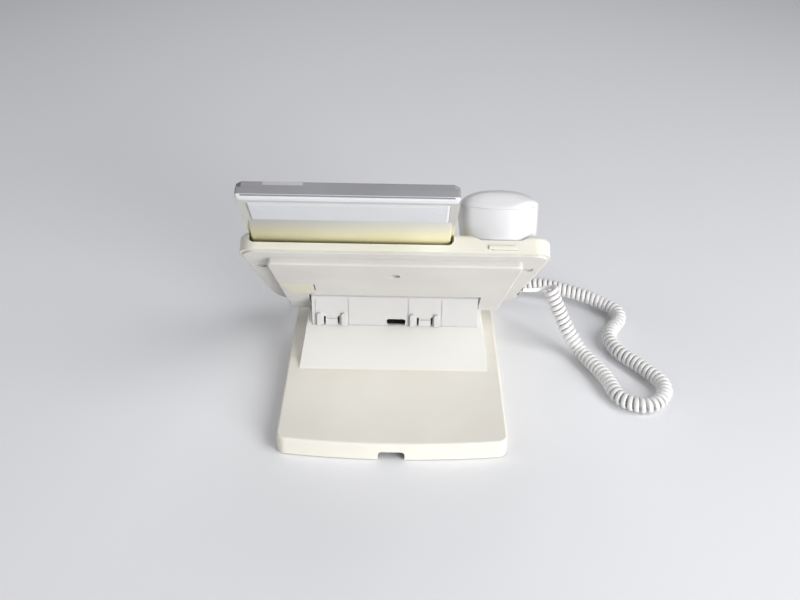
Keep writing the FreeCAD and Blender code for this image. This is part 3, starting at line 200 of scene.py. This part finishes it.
# each finish: lighter and darker shade, roughness, and grain scale and depth
# or clear coat where it has its own
looks = {
    "standPlastic": ((240, 237, 227), (233, 229, 217), 0.55),
    "neckPlastic": ((216, 216, 215), (210, 209, 208), 0.5),
    "casePlastic": ((217, 215, 211), (210, 207, 203), 0.55),
    "upperPlastic": ((233, 231, 220), (225, 222, 209), 0.5),
    "displayCream": ((230, 224, 187), (220, 213, 171), 0.55),
    "panelWhite": ((214, 215, 219), (209, 210, 214), 0.4),
    "silverTrim": ((149, 149, 154), (142, 142, 146), 0.38, (2200.0, 0.15)),
    "handsetWhite": ((226, 226, 228), (221, 221, 223), 0.38, (1200.0, 0.08), 0.15),
    "handsetTop": ((234, 234, 236), (229, 229, 231), 0.36, (1600.0, 0.25), 0.1),
    "cordJacket": ((239, 238, 237), (227, 226, 225), 0.4, (900.0, 0.05)),
    "keyGrey": ((92, 94, 100), (82, 84, 90), 0.5),
    "rubberBlack": ((44, 44, 44), (34, 34, 34), 0.85),
    "screwSteel": ((196, 194, 190), (182, 180, 176), 0.35),
    "boardGreen": ((52, 84, 60), (44, 74, 52), 0.5),
    "innerDark": ((52, 52, 54), (42, 42, 44), 0.6),
    "lensDark": ((62, 68, 72), (54, 60, 64), 0.12),
    # painted highlight along the rounded far edge of the display's top cap
    "lipHighlight": ((224, 225, 228), (218, 219, 222), 0.3),
    "labelCream": ((224, 221, 203), (216, 212, 192), 0.5),
    "lampFrost": ((184, 184, 184), (172, 172, 172), 0.35),
    "plugClear": ((206, 204, 198), (190, 188, 180), 0.2),
}
finishes = {name: moulded(name, *look) for name, look in looks.items()}

# the stand's riser is more neutral than its plate; the display's cover is yellowed towards its
# hinge, and is painted greyer and darker further up as shade that tones down the light on its
# foot's upper slope
standFade = {"other": (231, 230, 226), "axis": (0.0, 0.0, 1.0), "start": 0.0150, "end": 0.0175}
displayUp = displayFrame.to_3x3() @ Vector((0, 1, 0))
hingeAlong = displayFrame.translation.dot(displayUp)
coverYellowAndShade = {"other": (193, 192, 185), "axis": tuple(displayUp),
             "start": hingeAlong + 0.018, "end": hingeAlong + 0.042}
finishes["standTones"] = faded("standTones", finishes["standPlastic"], **standFade)
finishes["displayFade"] = faded("displayFade", finishes["displayCream"], **coverYellowAndShade)

nodeFinish = {
    "standTones": ["stand_base"],
    "neckPlastic": ["stand_neck"],
    "casePlastic": ["lower_case"],
    "upperPlastic": ["upper_case", "handset_hanger"],
    "displayFade": ["display_cover"],
    "panelWhite": ["display_back_panel"],
    "silverTrim": ["display_bezel"],
    "handsetWhite": ["handset_back", "handset_front"],
    "rubberBlack": ["stand_feet", "keypad_mat"],
    "screwSteel": ["case_screws", "hinge_pins"],
    "boardGreen": ["main_board"],
    "innerDark": ["lan_jack", "pc_jack", "handset_jack", "headset_jack", "loudspeaker",
                  "microphone", "handset_receiver", "handset_mic", "hook_switch"],
    "lensDark": ["display_lens", "lcd_module"],
    "lampFrost": ["message_lamp"],
    "plugClear": ["handset_plug", "case_plug"],
    "keyGrey": ["navigator_ring", "enter_key", "volume_rocker"],
}
nodeFinish["keyGrey"] += [name for name in nodes
                          if name.startswith(("dial_key", "line_key", "soft_key"))]

for finish, names in nodeFinish.items():
    for name in names:
        nodes[name].data.materials.clear()
        nodes[name].data.materials.append(finishes[finish])
print("finishes set")


# Small mesh helpers

def meshPiece(name, mesh, finish, body):
    piece = bpy.data.objects.new(name, mesh)
    bpy.context.scene.collection.objects.link(piece)
    piece.data.materials.append(finishes[finish])
    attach(piece, body)
    return piece


def ringMesh(name, rings, farLid=True):
    # outlines bridged one to the next, with a lid on each closed end
    work = bmesh.new()
    loops = []
    for ring in rings:
        corners = [work.verts.new(point) for point in ring]
        loops.append([work.edges.new(pair) for pair in zip(corners, corners[1:] + corners[:1])])
    for before, after in zip(loops, loops[1:]):
        bmesh.ops.bridge_loops(work, edges=before + after)
    bmesh.ops.contextual_create(work, geom=loops[0])
    if farLid:
        bmesh.ops.contextual_create(work, geom=loops[-1])
    bmesh.ops.remove_doubles(work, verts=work.verts[:], dist=0.000004)
    bmesh.ops.recalc_face_normals(work, faces=work.faces[:])
    mesh = bpy.data.meshes.new(name)
    work.to_mesh(mesh)
    work.free()
    return mesh


def smoothed(mesh, angle):
    # rounded where faces meet gently, sharp elsewhere
    for face in mesh.polygons:
        face.use_smooth = True
    mesh.set_sharp_from_angle(angle=math.radians(angle))
    return mesh


def roundEdges(piece, width):
    bend = piece.modifiers.new("edgeRound", "BEVEL")
    bend.width = width
    bend.segments = 2


def placed(frameMatrix, points):
    return [frameMatrix @ Vector(point) for point in points]


def flatRing(frameMatrix, plan, height):
    return placed(frameMatrix, [(x, y, height) for x, y in plan])


def between(first, last, share):
    return first + (last - first) * share


def eased(value):
    value = min(max(value, 0.0), 1.0)
    return value * value * (3 - 2 * value)


def quarterTurn(steps):
    return [math.pi / 2 * step / steps for step in range(1, steps + 1)]


def roundedRect(left, low, right, high, radius, steps=6):
    # corner points counter-clockwise from the lower right corner
    corners = ((right - radius, low + radius, -90), (right - radius, high - radius, 0),
               (left + radius, high - radius, 90), (left + radius, low + radius, 180))
    points = []
    for x, y, start in corners:
        for step in range(steps + 1):
            angle = math.radians(start + 90 * step / steps)
            points.append((x + radius * math.cos(angle), y + radius * math.sin(angle)))
    return points


# Display: silver cap whose rounded far edge carries a painted highlight in a light colour,
# raised back panel, and the deep foot that covers the hinge. Heights are negative to the back.

topCap = {
    "half": 0.0765, "reach": 0.07795, "depth": 0.00535,
    "front": 0.0012, "back": -0.0063, "round": 0.0030, "steps": 8,
    "corner": 0.0018, "leastCorner": 0.0004,
    "lip": 0.82,  # share of the rounding that is painted with the light highlight
    "smooth": 50.0,
}
backPanel = {
    "half": 0.0701, "low": 0.0405, "high": 0.0686,
    "seat": -0.0055, "face": -0.0072, "strip": -0.0068,
    "step": 0.0520, "stepWidth": 0.0004, "slope": 0.0016, "edgeRound": 0.0004,
}
panelOval = {"across": 0.0620, "along": 0.0590, "wide": 0.0042, "tall": 0.0021,
             "proud": 0.00018, "topShare": 0.94, "degrees": 12}
hingeFoot = {
    "half": 0.0727, "endRound": 0.0012, "endDrop": 0.0009, "dropsBelow": -0.0055, "smooth": 40.0,
    "profile": [(-0.0030, -0.0098), (-0.0012, -0.0112), (0.0060, -0.0114), (0.0120, -0.0112),
                (0.0180, -0.0105), (0.0250, -0.0093), (0.0330, -0.0075), (0.0402, -0.0060),
                (0.0402, -0.0050), (-0.0030, -0.0050)],
}


def makeTopCap():
    levels = [(topCap["front"], 0.0), (topCap["back"] + topCap["round"], 0.0)]
    for angle in quarterTurn(topCap["steps"]):
        levels.append((topCap["back"] + topCap["round"] * (1 - math.sin(angle)),
                       topCap["round"] * (1 - math.cos(angle))))
    rings = []
    for height, inset in levels:
        plan = roundedRect(-topCap["half"] + inset, topCap["reach"] - topCap["depth"],
                           topCap["half"] - inset, topCap["reach"] - inset,
                           max(topCap["corner"] - inset, topCap["leastCorner"]))
        rings.append(flatRing(displayFrame, plan, height))
    mesh = smoothed(ringMesh("displayTopCap", rings), topCap["smooth"])
    cap = meshPiece("displayTopCap", mesh, "silverTrim", "display")
    cap.data.materials.append(finishes["lipHighlight"])
    inverse = displayFrame.inverted()
    edge = topCap["back"] + topCap["round"] * topCap["lip"]
    # the far part of the rounding takes the painted highlight
    for face in cap.data.polygons:
        if (inverse @ face.center).z < edge:
            face.material_index = 1


def makeBackPanel():
    seat, face, strip = backPanel["seat"], backPanel["face"], backPanel["strip"]
    low, high, slope = backPanel["low"], backPanel["high"], backPanel["slope"]
    step, half = backPanel["step"], backPanel["half"]
    profile = [(high, seat), (high - slope, face), (step, face),
               (step - backPanel["stepWidth"], strip), (low + slope, strip), (low, seat)]
    rings = []
    for across, sunk in ((-half, 1.0), (-half + slope, 0.0), (half - slope, 0.0), (half, 1.0)):
        rings.append(placed(displayFrame, [(across, along, between(height, seat, sunk))
                                           for along, height in profile]))
    panel = meshPiece("displayPanel", ringMesh("displayPanel", rings), "panelWhite", "display")
    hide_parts("display_back_panel")
    roundEdges(panel, backPanel["edgeRound"])


def makePanelOvals():
    face = backPanel["face"]
    for name, middle in (("panelOvalLeft", -panelOval["across"]),
                         ("panelOvalRight", panelOval["across"])):
        rings = []
        for height, share in ((face, 1.0), (face - panelOval["proud"], panelOval["topShare"])):
            plan = []
            for turn in range(0, 360, panelOval["degrees"]):
                angle = math.radians(turn)
                plan.append((middle + panelOval["wide"] * share * math.cos(angle),
                             panelOval["along"] + panelOval["tall"] * share * math.sin(angle)))
            rings.append(flatRing(displayFrame, plan, height))
        meshPiece(name, ringMesh(name, rings), "panelWhite", "display")


def makeHingeFoot():
    half, inner = hingeFoot["half"], hingeFoot["half"] - hingeFoot["endRound"]
    rings = []
    for across, drop in ((-half, hingeFoot["endDrop"]), (-inner, 0.0), (inner, 0.0),
                         (half, hingeFoot["endDrop"])):
        ring = []
        for along, height in hingeFoot["profile"]:
            if height < hingeFoot["dropsBelow"]:
                height += drop
            ring.append((across, along, height))
        rings.append(placed(displayFrame, ring))
    mesh = smoothed(ringMesh("displayFoot", rings), hingeFoot["smooth"])
    # up the foot the colour fades from real yellowing to a darker painted shade
    meshPiece("displayFoot", mesh, "displayFade", "display")


# Handset: dome of the back shell, bowl of the front shell and the sound slots.
# Its plan runs from the ear end (first) to the mouth end (last).

handset = {
    "half": 0.0298, "grip": 0.0230, "mouth": 0.0290, "first": 0.0018, "last": -0.1682,
    "corner": 0.0140, "sweep": 0.0520, "ear": -0.034, "waist": -0.082, "lower": -0.130,
    "spine": (-0.020, -0.150),  # the rings close in on this line
    "smooth": 50.0,
}
seam = {"height": 0.0290, "tip": 0.0195, "turn": -0.0140, "sag": 0.06, "gap": 0.00028,
        "grooveInset": 0.0006, "grooveTop": 0.00002, "lipInset": 0.00005, "lipDrop": 0.0002}
dome = {
    # station, height of the middle and height of the edge
    "crowns": [(0.0045, 0.0100, 0.0050), (0.0018, 0.0212, 0.0150), (-0.0020, 0.0300, 0.0190),
               (-0.0060, 0.0358, 0.0225), (-0.0120, 0.0402, 0.0282), (-0.0220, 0.0425, 0.0300),
               (-0.0500, 0.0412, 0.0295), (-0.0860, 0.0390, 0.0280), (-0.1300, 0.0390, 0.0295),
               (-0.1550, 0.0372, 0.0294), (-0.1640, 0.0330, 0.0285), (-0.1682, 0.0298, 0.0270),
               (-0.1710, 0.0280, 0.0250)],
    "reach": 0.03, "power": 2.5, "fullness": 0.6,
    # inset, drop below the dome and least height above the seam
    "edge": [(0.0, 0.0008, 0.0002), (0.0003, 0.00025, 0.0004), (0.0009, 0.0, 0.0004)],
    "shares": (0.98, 0.955, 0.925, 0.885, 0.84, 0.78, 0.7, 0.6, 0.5, 0.38, 0.25, 0.12, 0.0),
}
bowl = {
    "ear": 0.00035, "grip": 0.0138, "mouth": 0.0006,  # height of the underside
    "earArch": (-0.0490, -0.0640), "mouthArch": (-0.1000, -0.1100),
    "earDip": {"depth": 0.00445, "flat": 0.0140, "edge": 0.0218, "end": -0.0490, "fade": -0.0525},
    "mouthDip": {"depth": 0.0017, "flat": 0.0185, "edge": 0.0208, "near": -0.1120, "far": -0.1440,
                 "fade": 0.003},
    "taper": math.tan(math.radians(5.0)), "wallInset": 0.0001, "wallSteps": 12,
    "insetStep": 0.0005, "insets": 7, "underShare": 0.92,
    "footRound": 0.0024, "footSteps": 4,
    "shares": (0.93, 0.86, 0.78, 0.7, 0.6, 0.5, 0.38, 0.25, 0.12, 0.0),
}
# station, half length and height of each slot
soundSlots = {"half": 0.001, "depth": 0.0004,
              "places": [(-0.021, 0.0070, -0.0042), (-0.027, 0.0100, -0.0042),
                         (-0.033, 0.0070, -0.0042), (-0.1282, 0.0050, -0.0012)]}


def endArc(half, corner, sweep, end, way):
    # half of an end: the wide arc from the middle, then the corner's rounding
    across = half - corner
    reach = math.sqrt((sweep - corner) ** 2 - across ** 2)
    centre = end - way * (sweep - reach)
    turn = math.asin(across / (sweep - corner))
    points = []
    for step in range(11):
        angle = turn * step / 10
        points.append((sweep * math.sin(angle), end - way * sweep * (1 - math.cos(angle))))
    for step in range(1, 10):
        angle = turn + (math.pi / 2 - turn) * step / 9
        points.append((across + corner * math.sin(angle), centre + way * corner * math.cos(angle)))
    return points


def sideLine(widthHere, widthThere, start, end, steps):
    points = []
    for step in range(1, steps + 1):
        share = step / steps
        points.append((between(widthHere, widthThere, eased(share)), between(start, end, share)))
    return points


def handsetPlan(inset):
    half, grip, mouth = (handset[key] - inset for key in ("half", "grip", "mouth"))
    corner, sweep = handset["corner"] - inset, handset["sweep"] - inset
    ear, waist, lower = handset["ear"], handset["waist"], handset["lower"]
    right = endArc(half, corner, sweep, handset["first"] - inset, 1)
    low = list(reversed(endArc(mouth, corner, sweep, handset["last"] + inset, -1)))
    right += sideLine(half, half, right[-1][1], ear, 4)
    right += sideLine(half, grip, ear, waist, 16)
    right += sideLine(grip, mouth, waist, lower, 16)
    right += sideLine(mouth, mouth, lower, low[0][1], 4)[:-1]
    right += low
    left = [(-x, y) for x, y in reversed(right[1:-1])]
    return right + left


def seamHeight(y):
    share = max((y - seam["turn"]) / (handset["first"] - seam["turn"]), 0.0)
    sag = seam["sag"] * math.sin(math.pi * min(share, 1))
    return between(seam["height"], seam["tip"], share - sag)


def domeHeight(x, y):
    crowns = dome["crowns"]
    index = 0
    while index < len(crowns) - 2 and crowns[index + 1][0] > y:
        index += 1
    (y0, crown0, edge0), (y1, crown1, edge1) = crowns[index], crowns[index + 1]
    share = (y - y0) / (y1 - y0)
    crown, edge = between(crown0, crown1, share), between(edge0, edge1, share)
    side = min(abs(x) / dome["reach"], 1.0)
    return edge + (crown - edge) * (1 - side ** dome["power"]) ** dome["fullness"]


def dipAcross(dip, x):
    return dip["depth"] * (1 - eased((abs(x) - dip["flat"]) / (dip["edge"] - dip["flat"])))


def underHeight(x, y):
    earStart, earEnd = bowl["earArch"]
    mouthStart, mouthEnd = bowl["mouthArch"]
    if y > earEnd:
        height = between(bowl["ear"], bowl["grip"], eased((earStart - y) / (earStart - earEnd)))
    else:
        height = between(bowl["grip"], bowl["mouth"],
                         eased((mouthStart - y) / (mouthStart - mouthEnd)))
    dip = bowl["earDip"]
    height -= dipAcross(dip, x) * (1 - eased((dip["end"] - y) / (dip["end"] - dip["fade"])))
    dip = bowl["mouthDip"]
    within = eased((dip["near"] - y) / dip["fade"]) * eased((y - dip["far"]) / dip["fade"])
    return height - dipAcross(dip, x) * within


def spinePoint(y):
    near, far = handset["spine"]
    return min(max(y, far), near)


def towardSpine(plan, share):
    return [(x * share, between(spinePoint(y), y, share)) for x, y in plan]


def leaningRing(points):
    # plan points at a different inset each, as the wall leans in
    plans = [handsetPlan(count * bowl["insetStep"]) for count in range(bowl["insets"])]
    ring = []
    for index, (height, inset) in enumerate(points):
        place = min(inset / bowl["insetStep"], bowl["insets"] - 1.001)
        lower = int(place)
        (x0, y0), (x1, y1) = plans[lower][index], plans[lower + 1][index]
        ring.append((between(x0, x1, place - lower), between(y0, y1, place - lower), height))
    return ring


def shellPiece(name, rings, finish, node):
    mesh = ringMesh(name, [placed(handsetFrame, ring) for ring in rings], farLid=False)
    piece = meshPiece(name, smoothed(mesh, handset["smooth"]), finish, "handset")
    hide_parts(node)


def makeDome():
    rings = [[(x, y, seamHeight(y)) for x, y in handsetPlan(0.0)]]
    for inset, drop, least in dome["edge"]:
        rings.append([(x, y, max(domeHeight(x, y) - drop, seamHeight(y) + least))
                      for x, y in handsetPlan(inset)])
    inner = handsetPlan(dome["edge"][-1][0])
    for share in dome["shares"]:
        rings.append([(x, y, domeHeight(x, y)) for x, y in towardSpine(inner, share)])
    shellPiece("handsetDome", rings, "handsetTop", "handset_back")


def makeBowl():
    gap = seam["gap"]
    groove, lip = handsetPlan(seam["grooveInset"]), handsetPlan(seam["lipInset"])
    rings = [[(x, y, seamHeight(y) - seam["grooveTop"]) for x, y in groove],
             [(x, y, seamHeight(y) - gap) for x, y in groove],
             [(x, y, seamHeight(y) - gap - seam["lipDrop"]) for x, y in lip]]
    foot = bowl["footRound"]
    for step in range(1, bowl["wallSteps"] + 1):
        points = []
        for x, y in handsetPlan(0.0):
            top = seamHeight(y) - gap
            low = underHeight(x * bowl["underShare"], y) + foot
            height = between(top, low, step / bowl["wallSteps"])
            points.append((height, bowl["wallInset"] + (top - height) * bowl["taper"]))
        rings.append(leaningRing(points))
    wallEnd = rings[-1]
    for angle in quarterTurn(bowl["footSteps"]):
        ring = []
        for x, y, height in wallEnd:
            inward = Vector((x, y - spinePoint(y))).normalized() * foot * (1 - math.cos(angle))
            ring.append((x - inward.x, y - inward.y, height - foot * math.sin(angle)))
        rings.append(ring)
    flat = [(x, y) for x, y, _ in rings[-1]]
    for share in bowl["shares"]:
        rings.append([(x, y, underHeight(x, y)) for x, y in towardSpine(flat, share)])
    shellPiece("handsetBowl", rings, "handsetWhite", "handset_front")


def makeSoundSlots():
    half = soundSlots["half"]
    for index, (along, reach, height) in enumerate(soundSlots["places"]):
        plan = [(-reach, along - half), (reach, along - half),
                (reach, along + half), (-reach, along + half)]
        rings = [flatRing(handsetFrame, plan, height),
                 flatRing(handsetFrame, plan, height + soundSlots["depth"])]
        name = "soundSlot" + str(index + 1)
        meshPiece(name, ringMesh(name, rings), "innerDark", "handset")


# Stand: its plate runs on forward under the body, further than the solid's

standReach = {"from": -0.0545, "further": 0.0330}


def stretchStand():
    source = nodes["stand_base"]
    mesh = source.data.copy()
    work = bmesh.new()
    work.from_mesh(mesh)
    for vertex in work.verts:
        vertex.co = source.matrix_world @ vertex.co
        if vertex.co.y < standReach["from"]:
            vertex.co.y -= standReach["further"]
    work.to_mesh(mesh)
    work.free()
    mesh.materials.clear()
    base = meshPiece("standBase", mesh, "standTones", "phone")
    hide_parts("stand_base")


# Small things on the body: raised hanger bar, label field and a dark sheet of painted shade for the
# slit beside it

smallThings = {
    "hangerBar": {"finish": "upperPlastic", "edgeRound": 0.0004, "low": -0.0116, "high": -0.0086,
                  "plan": [(-0.0890, -0.0003), (-0.0684, -0.0003),
                           (-0.0684, 0.0012), (-0.0890, 0.0012)]},
    "labelField": {"finish": "labelCream", "edgeRound": 0.0, "low": -0.02085, "high": -0.0204,
                   "plan": [(0.0655, -0.0644), (0.0660, -0.0885),
                            (0.0835, -0.0885), (0.0900, -0.0644)]},
    # painted shade: a thin dark sheet on the surface stands for the slit's shaded inside
    "slitShadeSheet": {"finish": "innerDark", "edgeRound": 0.0, "low": -0.02085, "high": -0.0204,
                  "plan": [(0.0637, -0.0650), (0.0637, -0.0800),
                           (0.0645, -0.0800), (0.0645, -0.0650)]},
}


def makeSmallThings():
    for name, thing in smallThings.items():
        rings = [flatRing(bodyFrame, thing["plan"], thing[side]) for side in ("low", "high")]
        piece = meshPiece(name, ringMesh(name, rings), thing["finish"], "phone")
        if thing["edgeRound"]:
            roundEdges(piece, thing["edgeRound"])


makeSmallThings()
makeTopCap()
makeBackPanel()
makePanelOvals()
makeHingeFoot()
makeDome()
makeBowl()
makeSoundSlots()
stretchStand()
print("display, handset and stand shapes made")

# Cord: the same route points as the solid's, then the wire wound round it

cord = {
    "route": [
        (-0.1000, -0.1176, 0.0115), (-0.1130, -0.1171, 0.0130), (-0.1300, -0.1131, 0.0175),
        (-0.1620, -0.1061, 0.0135), (-0.1920, -0.0951, 0.0090), (-0.2070, -0.0741, 0.0074),
        (-0.1870, -0.0481, 0.0074), (-0.1900, -0.0241, 0.0074), (-0.2080, -0.0021, 0.0074),
        (-0.2260, 0.0259, 0.0074), (-0.2080, 0.0519, 0.0074), (-0.1820, 0.0439, 0.0074),
        (-0.1770, 0.0159, 0.0074), (-0.1660, -0.0081, 0.0074), (-0.1570, -0.0251, 0.0095),
        (-0.1430, -0.0351, 0.0320), (-0.1320, -0.0426, 0.0570),
    ],
    "pitch": 0.0046, "radius": 0.0050, "stepsPerTurn": 28,
    "width": 0.0036, "thickness": 0.0027, "profilePoints": 12, "squareness": 0.7,
    "leadSteps": 24, "leadPull": 0.42,
    "plugEnd": (0, -0.1714, 0.0215),  # in the handset's frame
    "caseEnd": (-0.10875, -0.120, -0.00556),  # in the body's frame
    "blendFrom": (-0.1254, -0.0894, 0.02), "blendTo": (-0.0764, -0.1003, 0.02),
}


def splinePoints(name, route):
    # points along a smooth curve whose control points are the route's
    curve = bpy.data.curves.new(name, "CURVE")
    curve.dimensions = "3D"
    curve.resolution_u = 40
    spline = curve.splines.new("NURBS")
    spline.points.add(len(route) - 1)
    for point, place in zip(spline.points, route):
        point.co = (*place, 1.0)
    spline.order_u = 3
    spline.use_endpoint_u = True
    holder = bpy.data.objects.new(name, curve)
    bpy.context.scene.collection.objects.link(holder)
    bpy.context.view_layer.update()
    mesh = bpy.data.meshes.new_from_object(holder)
    points = [vertex.co.copy() for vertex in mesh.vertices]
    bpy.data.objects.remove(holder)
    bpy.data.meshes.remove(mesh)
    return points


def lineLength(points):
    return sum((after - before).length for before, after in zip(points, points[1:]))


def evenPoints(points, count):
    # the same line cut into equal steps
    reach = [0.0]
    for before, after in zip(points, points[1:]):
        reach.append(reach[-1] + (after - before).length)
    result = []
    index = 0
    for step in range(count + 1):
        wanted = reach[-1] * step / count
        while index < len(points) - 2 and reach[index + 1] < wanted:
            index += 1
        share = (wanted - reach[index]) / max(reach[index + 1] - reach[index], 1e-12)
        result.append(points[index].lerp(points[index + 1], min(max(share, 0.0), 1.0)))
    return result


def directions(points):
    result = []
    for index in range(len(points)):
        before = points[max(index - 1, 0)]
        after = points[min(index + 1, len(points) - 1)]
        result.append((after - before).normalized())
    return result


def steadySides(along, first):
    # a sideways vector at each point that turns as little as it can
    side = first
    sides = []
    for heading in along:
        side = (side - heading * side.dot(heading)).normalized()
        sides.append(side)
    return sides


def curlAngle(along, side, heading):
    return math.atan2(-side.dot(heading), along.cross(side).dot(heading))


def windCoil(firstHeading, lastHeading):
    # the wire's middle line round the route and the outward direction at each point
    line = splinePoints("cordRoute", cord["route"])
    turns = round(lineLength(line) / cord["pitch"])
    count = turns * cord["stepsPerTurn"]
    points = evenPoints(line, count)
    along = directions(points)
    sides = steadySides(along, along[0].cross(Vector((0, 0, 1))))
    first = curlAngle(along[0], sides[0], firstHeading)
    last = curlAngle(along[-1], sides[-1], lastHeading)
    whole = round(turns - (last - first) / (2 * math.pi))
    total = last - first + 2 * math.pi * whole
    wire = []
    outward = []
    for index in range(count + 1):
        angle = first + total * index / count
        across = sides[index] * math.cos(angle) + along[index].cross(sides[index]) * math.sin(angle)
        wire.append(points[index] + across * cord["radius"])
        outward.append(across)
    return wire, outward, turns


def squarish(value, half):
    # one side of a rounded square, from a sine or cosine
    return math.copysign(abs(value) ** cord["squareness"], value) * half


def bandTube(name, line, outward):
    # a flat wire with round edges along a line, its thin side facing outward
    work = bmesh.new()
    rings = []
    sides = cord["profilePoints"]
    for point, forward, out in zip(line, directions(line), outward):
        thin = (out - forward * out.dot(forward)).normalized()
        wide = forward.cross(thin)
        ring = []
        for corner in range(sides):
            angle = 2 * math.pi * corner / sides
            ring.append(work.verts.new(point + wide * squarish(math.cos(angle), cord["width"] / 2)
                                       + thin * squarish(math.sin(angle), cord["thickness"] / 2)))
        rings.append(ring)
    for before, after in zip(rings, rings[1:]):
        for corner in range(sides):
            following = (corner + 1) % sides
            work.faces.new((before[corner], after[corner], after[following], before[following]))
    work.faces.new(rings[0])
    work.faces.new(list(reversed(rings[-1])))
    for face in work.faces:
        face.smooth = True
    work.normal_update()
    mesh = bpy.data.meshes.new(name)
    work.to_mesh(mesh)
    work.free()
    return mesh


def leadPoints(name, start, startWay, end, endWay):
    pull = (end - start).length * cord["leadPull"]
    route = [start, start + startWay * pull, end - endWay * pull, end]
    return evenPoints(splinePoints(name, route), cord["leadSteps"])


def makeCord():
    plugEnd = handsetFrame @ Vector(cord["plugEnd"])
    plugWay = (handsetFrame.to_3x3() @ Vector((0, -1, 0))).normalized()
    caseEnd = bodyFrame @ Vector(cord["caseEnd"])
    caseWay = Vector((1, 0, 0))
    wire, outward, turns = windCoil(plugWay, caseWay)
    ways = directions(wire)
    lead = leadPoints("handsetLead", plugEnd, plugWay, wire[0], ways[0])
    tail = leadPoints("caseLead", wire[-1], ways[-1], caseEnd, caseWay)
    line = lead[:-1] + wire + tail[1:]
    outward = [outward[0]] * cord["leadSteps"] + outward + [outward[-1]] * cord["leadSteps"]
    piece = bpy.data.objects.new("curlyCordLine", bandTube("curlyCord", line, outward))
    bpy.context.scene.collection.objects.link(piece)
    piece.data.materials.append(finishes["cordJacket"])
    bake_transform(piece)
    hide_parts("curly_cord", "handset_lead", "case_lead")


makeCord()

# Stage, light and camera

photoCamera = {"place": (-0.00435, 0.62533, 0.4933), "down": 34.0, "roll": 1.03,
               "lens": 42.3, "sensor": 36.0}
studio = {
    "floor": (239, 240, 243), "floorSize": 6.0,
    "worldStrength": 0.14, "worldColour": (214, 214, 220),
    "aim": (0, 0, 0.06),
    "lights": {
        "lowFront": {"place": (-1.1, 1.3, 0.35), "size": 0.9, "power": 27.2},
        "highRight": {"place": (-1.2, 0.6, 1.3), "size": 1.0, "power": 15.0},
        "highLeft": {"place": (1.2, 0.4, 1.2), "size": 1.0, "power": 6.8},
        "behind": {"place": (0.0, -1.2, 1.3), "size": 1.0, "power": 5.5},
    },
}


def areaLight(name, place, size, power):
    light = bpy.data.lights.new(name, "AREA")
    light.energy = power
    light.size = size
    lamp = bpy.data.objects.new(name, light)
    lamp.location = place
    toward = Vector(studio["aim"]) - Vector(place)
    lamp.rotation_euler = toward.to_track_quat("-Z", "Y").to_euler()
    bpy.context.scene.collection.objects.link(lamp)


def makeStage():
    work = bmesh.new()
    bmesh.ops.create_grid(work, x_segments=1, y_segments=1, size=studio["floorSize"] / 2)
    mesh = bpy.data.meshes.new("floor")
    work.to_mesh(mesh)
    work.free()
    floor = bpy.data.objects.new("floor", mesh)
    bpy.context.scene.collection.objects.link(floor)
    material = moulded("floorPale", studio["floor"], studio["floor"], 0.7, (400.0, 0.0))
    floor.data.materials.append(material)
    for name, light in studio["lights"].items():
        areaLight(name, **light)
    world = bpy.data.worlds.new("softRoom")
    world.use_nodes = True
    back = world.node_tree.nodes["Background"]
    back.inputs["Color"].default_value = linear(*studio["worldColour"])
    back.inputs["Strength"].default_value = studio["worldStrength"]
    bpy.context.scene.world = world


def makeCamera():
    data = bpy.data.cameras.new("photoCamera")
    data.sensor_width = photoCamera["sensor"]
    data.lens = photoCamera["lens"]
    down = math.radians(photoCamera["down"])
    roll = math.radians(photoCamera["roll"])
    ahead = Vector((0, -math.cos(down), -math.sin(down)))
    level = Vector((-1, 0, 0))
    upright = Vector((0, -math.sin(down), math.cos(down)))
    right = level * math.cos(roll) + upright * math.sin(roll)
    up = upright * math.cos(roll) - level * math.sin(roll)
    camera = bpy.data.objects.new("photoCamera", data)
    turn = Matrix((right, up, -ahead)).transposed().to_4x4()
    camera.matrix_world = Matrix.Translation(photoCamera["place"]) @ turn
    bpy.context.scene.collection.objects.link(camera)
    bpy.context.scene.camera = camera


makeStage()
makeCamera()
bpy.context.scene.view_settings.view_transform = "Standard"

print("scene ready")
